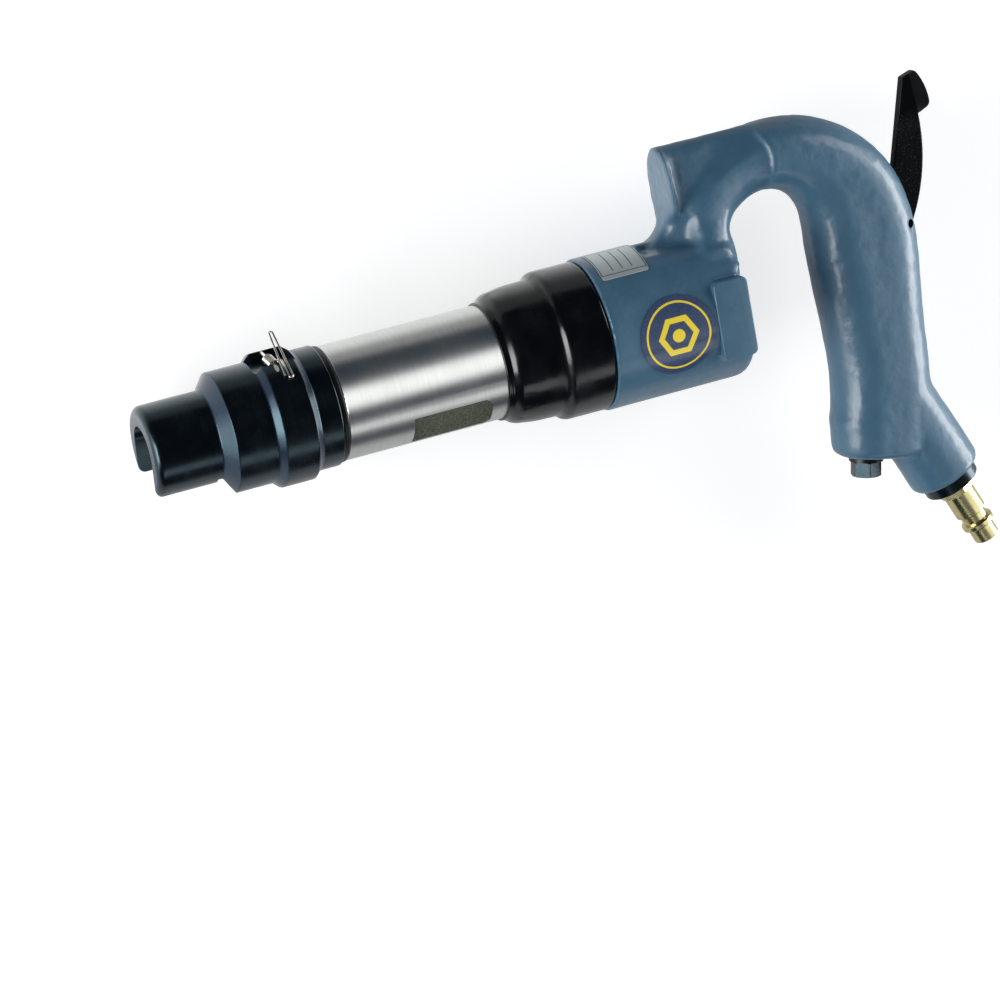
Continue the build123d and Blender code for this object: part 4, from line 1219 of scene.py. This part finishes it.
# Studio: a pale floor under the tool, soft lamps round it, and the camera above its badge side.
# The floor touches the lowest point of the body's side pad.
FLOOR_COLOUR = (0.50, 0.50, 0.50, 1)
FLOOR_PALE = 0.70
FLOOR_GLOW_NEAR = 0.9
FLOOR_GLOW_FRONT = 0.28
FLOOR_GLOW_FAR = 0.05
FLOOR_LINE = (-0.03, 0.02)
FADE_BACK = (0.045, 0.12)
FADE_RIGHT = (0.19, 0.25)
FLOOR_GRAIN = 0.02 * MM
WORLD_LIGHT = 0.03
WORLD_TINT = (0.5, 0.95, 1.7, 1)
CAMERA_SWING = math.radians(17.4525)
CAMERA_RISE = math.radians(15.5083)
CAMERA_ROLL = math.radians(10.5886)
CAMERA_DISTANCE = 1.730
CAMERA_SENSOR = 36
CAMERA_LENS = 2.5806 * CAMERA_DISTANCE * CAMERA_SENSOR
AIM = Vector((88.65, -54.69, 0)) * MM
PAINTED = ("casting", "badge_plate", "rating_plate", "coupling_plug", "latch_wire", "latch_pin")
LAMPS = (
    ("barrel_strip", (0.41, 0.26, 1.12), (0.06, 0, 0), (0.68, 0.82), 3.7, ("barrel",)),
    ("fill", (0.10, -0.30, 1.70), (0.15, 0, 0), (1.6, 1.6), 1.2, PAINTED),
    ("left", (-1.08, 0.0, 0.60), (0.0, 0, 0), (0.80, 0.60), 15.0, ()),
    ("low_left", (-1.30, -0.05, 0.16), (0.0, 0, 0.1), (1.3, 0.38), 6.0, ()),
    ("right", (1.30, -0.10, 0.22), (0.25, 0, 0.1), (0.9, 0.5), 14.0, ()),
    ("upper_right", (1.12, -0.28, 1.00), (0.25, 0, 0), (1.1, 0.9), 4.4, PAINTED),
    ("back_right", (1.15, 0.54, 0.58), (0.25, 0, 0), (0.6, 0.6), 4.4, ()),
    ("front", (0.30, -0.95, 0.80), (0.10, -0.02, 0), (1.2, 0.35), 2.0, ()),
)


def floor_mesh():
    """Flat square, wide enough that the camera doesn't see its edge."""
    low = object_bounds()[0]
    sheet = bmesh.new()
    bmesh.ops.create_grid(sheet, x_segments=8, y_segments=8, size=4.0)
    bmesh.ops.translate(sheet, verts=sheet.verts, vec=(0.1, 0, low.z))
    return mesh_from("floor", sheet)


def floor_finish():
    """Pale paper that glows: evenly pale to the camera, and a painted glow in what the tool mirrors of it,
    brightest close behind the barrel and fading away.
    """
    finish, tree, shader, place = new_finish("pale_sweep", Roughness=0.8, Specular_IOR_Level=0.1,
                                             Base_Color=FLOOR_COLOUR, Emission_Strength=1.0)
    axes = axes_of(tree, place)
    ahead = ramp(tree, axes[1], *reversed(FLOOR_LINE), FLOOR_GLOW_FAR, FLOOR_GLOW_FRONT)
    near = ramp(tree, axes[1], *FLOOR_LINE, FLOOR_GLOW_FAR, FLOOR_GLOW_NEAR)
    back = ramp(tree, axes[1], *FADE_BACK, 1, 0)
    right = ramp(tree, axes[0], *FADE_RIGHT, 1, 0)
    near = times(tree, near, times(tree, back, right))
    mirrored_glow = calc(tree, "MAXIMUM", near, ahead)
    straight = tree.nodes.new("ShaderNodeLightPath").outputs["Is Camera Ray"]
    # Painted light: the floor's emission is even for the camera, but for reflections it is a glow painted
    # brightest close behind the barrel.
    feed(tree, shader, Emission_Color=mix_value(tree, straight, mirrored_glow, FLOOR_PALE))
    set_bump(tree, shader, grain(tree, place, 300.0), FLOOR_GRAIN)
    return finish


floor = add_object("floor", floor_mesh())
floor.data.materials.append(floor_finish())

for name, spot, target, size, power, lit in LAMPS:
    lamp = bpy.data.lights.new(name, "AREA")
    lamp.shape = "RECTANGLE"
    lamp.size, lamp.size_y = size
    lamp.energy = power
    holder = add_object(name, lamp)
    holder.location = spot
    holder.rotation_euler = (Vector(target) - Vector(spot)).to_track_quat("-Z", "Y").to_euler()
    if lit:
        holder.light_linking.receiver_collection = bpy.data.collections.new("lit_by_" + name)
    for piece in lit:
        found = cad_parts.get(piece) or bpy.data.objects[piece]
        holder.light_linking.receiver_collection.objects.link(found)

world = bpy.data.worlds.new("studio")
world.use_nodes = True
sky = world.node_tree.nodes["Background"].inputs
sky["Color"].default_value = WORLD_TINT
sky["Strength"].default_value = WORLD_LIGHT
bpy.context.scene.world = world
bpy.context.scene.view_settings.view_transform = "Standard"

towards = Vector((
    -math.sin(CAMERA_SWING) * math.cos(CAMERA_RISE),
    math.sin(CAMERA_RISE),
    math.cos(CAMERA_SWING) * math.cos(CAMERA_RISE),
))
level = Vector((math.cos(CAMERA_SWING), 0, math.sin(CAMERA_SWING)))
upright = towards.cross(level)
right = level * math.cos(CAMERA_ROLL) - upright * math.sin(CAMERA_ROLL)
above = level * math.sin(CAMERA_ROLL) + upright * math.cos(CAMERA_ROLL)
lens = bpy.data.cameras.new("camera")
lens.sensor_width = CAMERA_SENSOR
lens.lens = CAMERA_LENS
camera = add_object("camera", lens)
turn = Matrix((right, above, towards)).transposed().to_4x4()
camera.matrix_world = Matrix.Translation(AIM + towards * CAMERA_DISTANCE) @ turn
bpy.context.scene.camera = camera
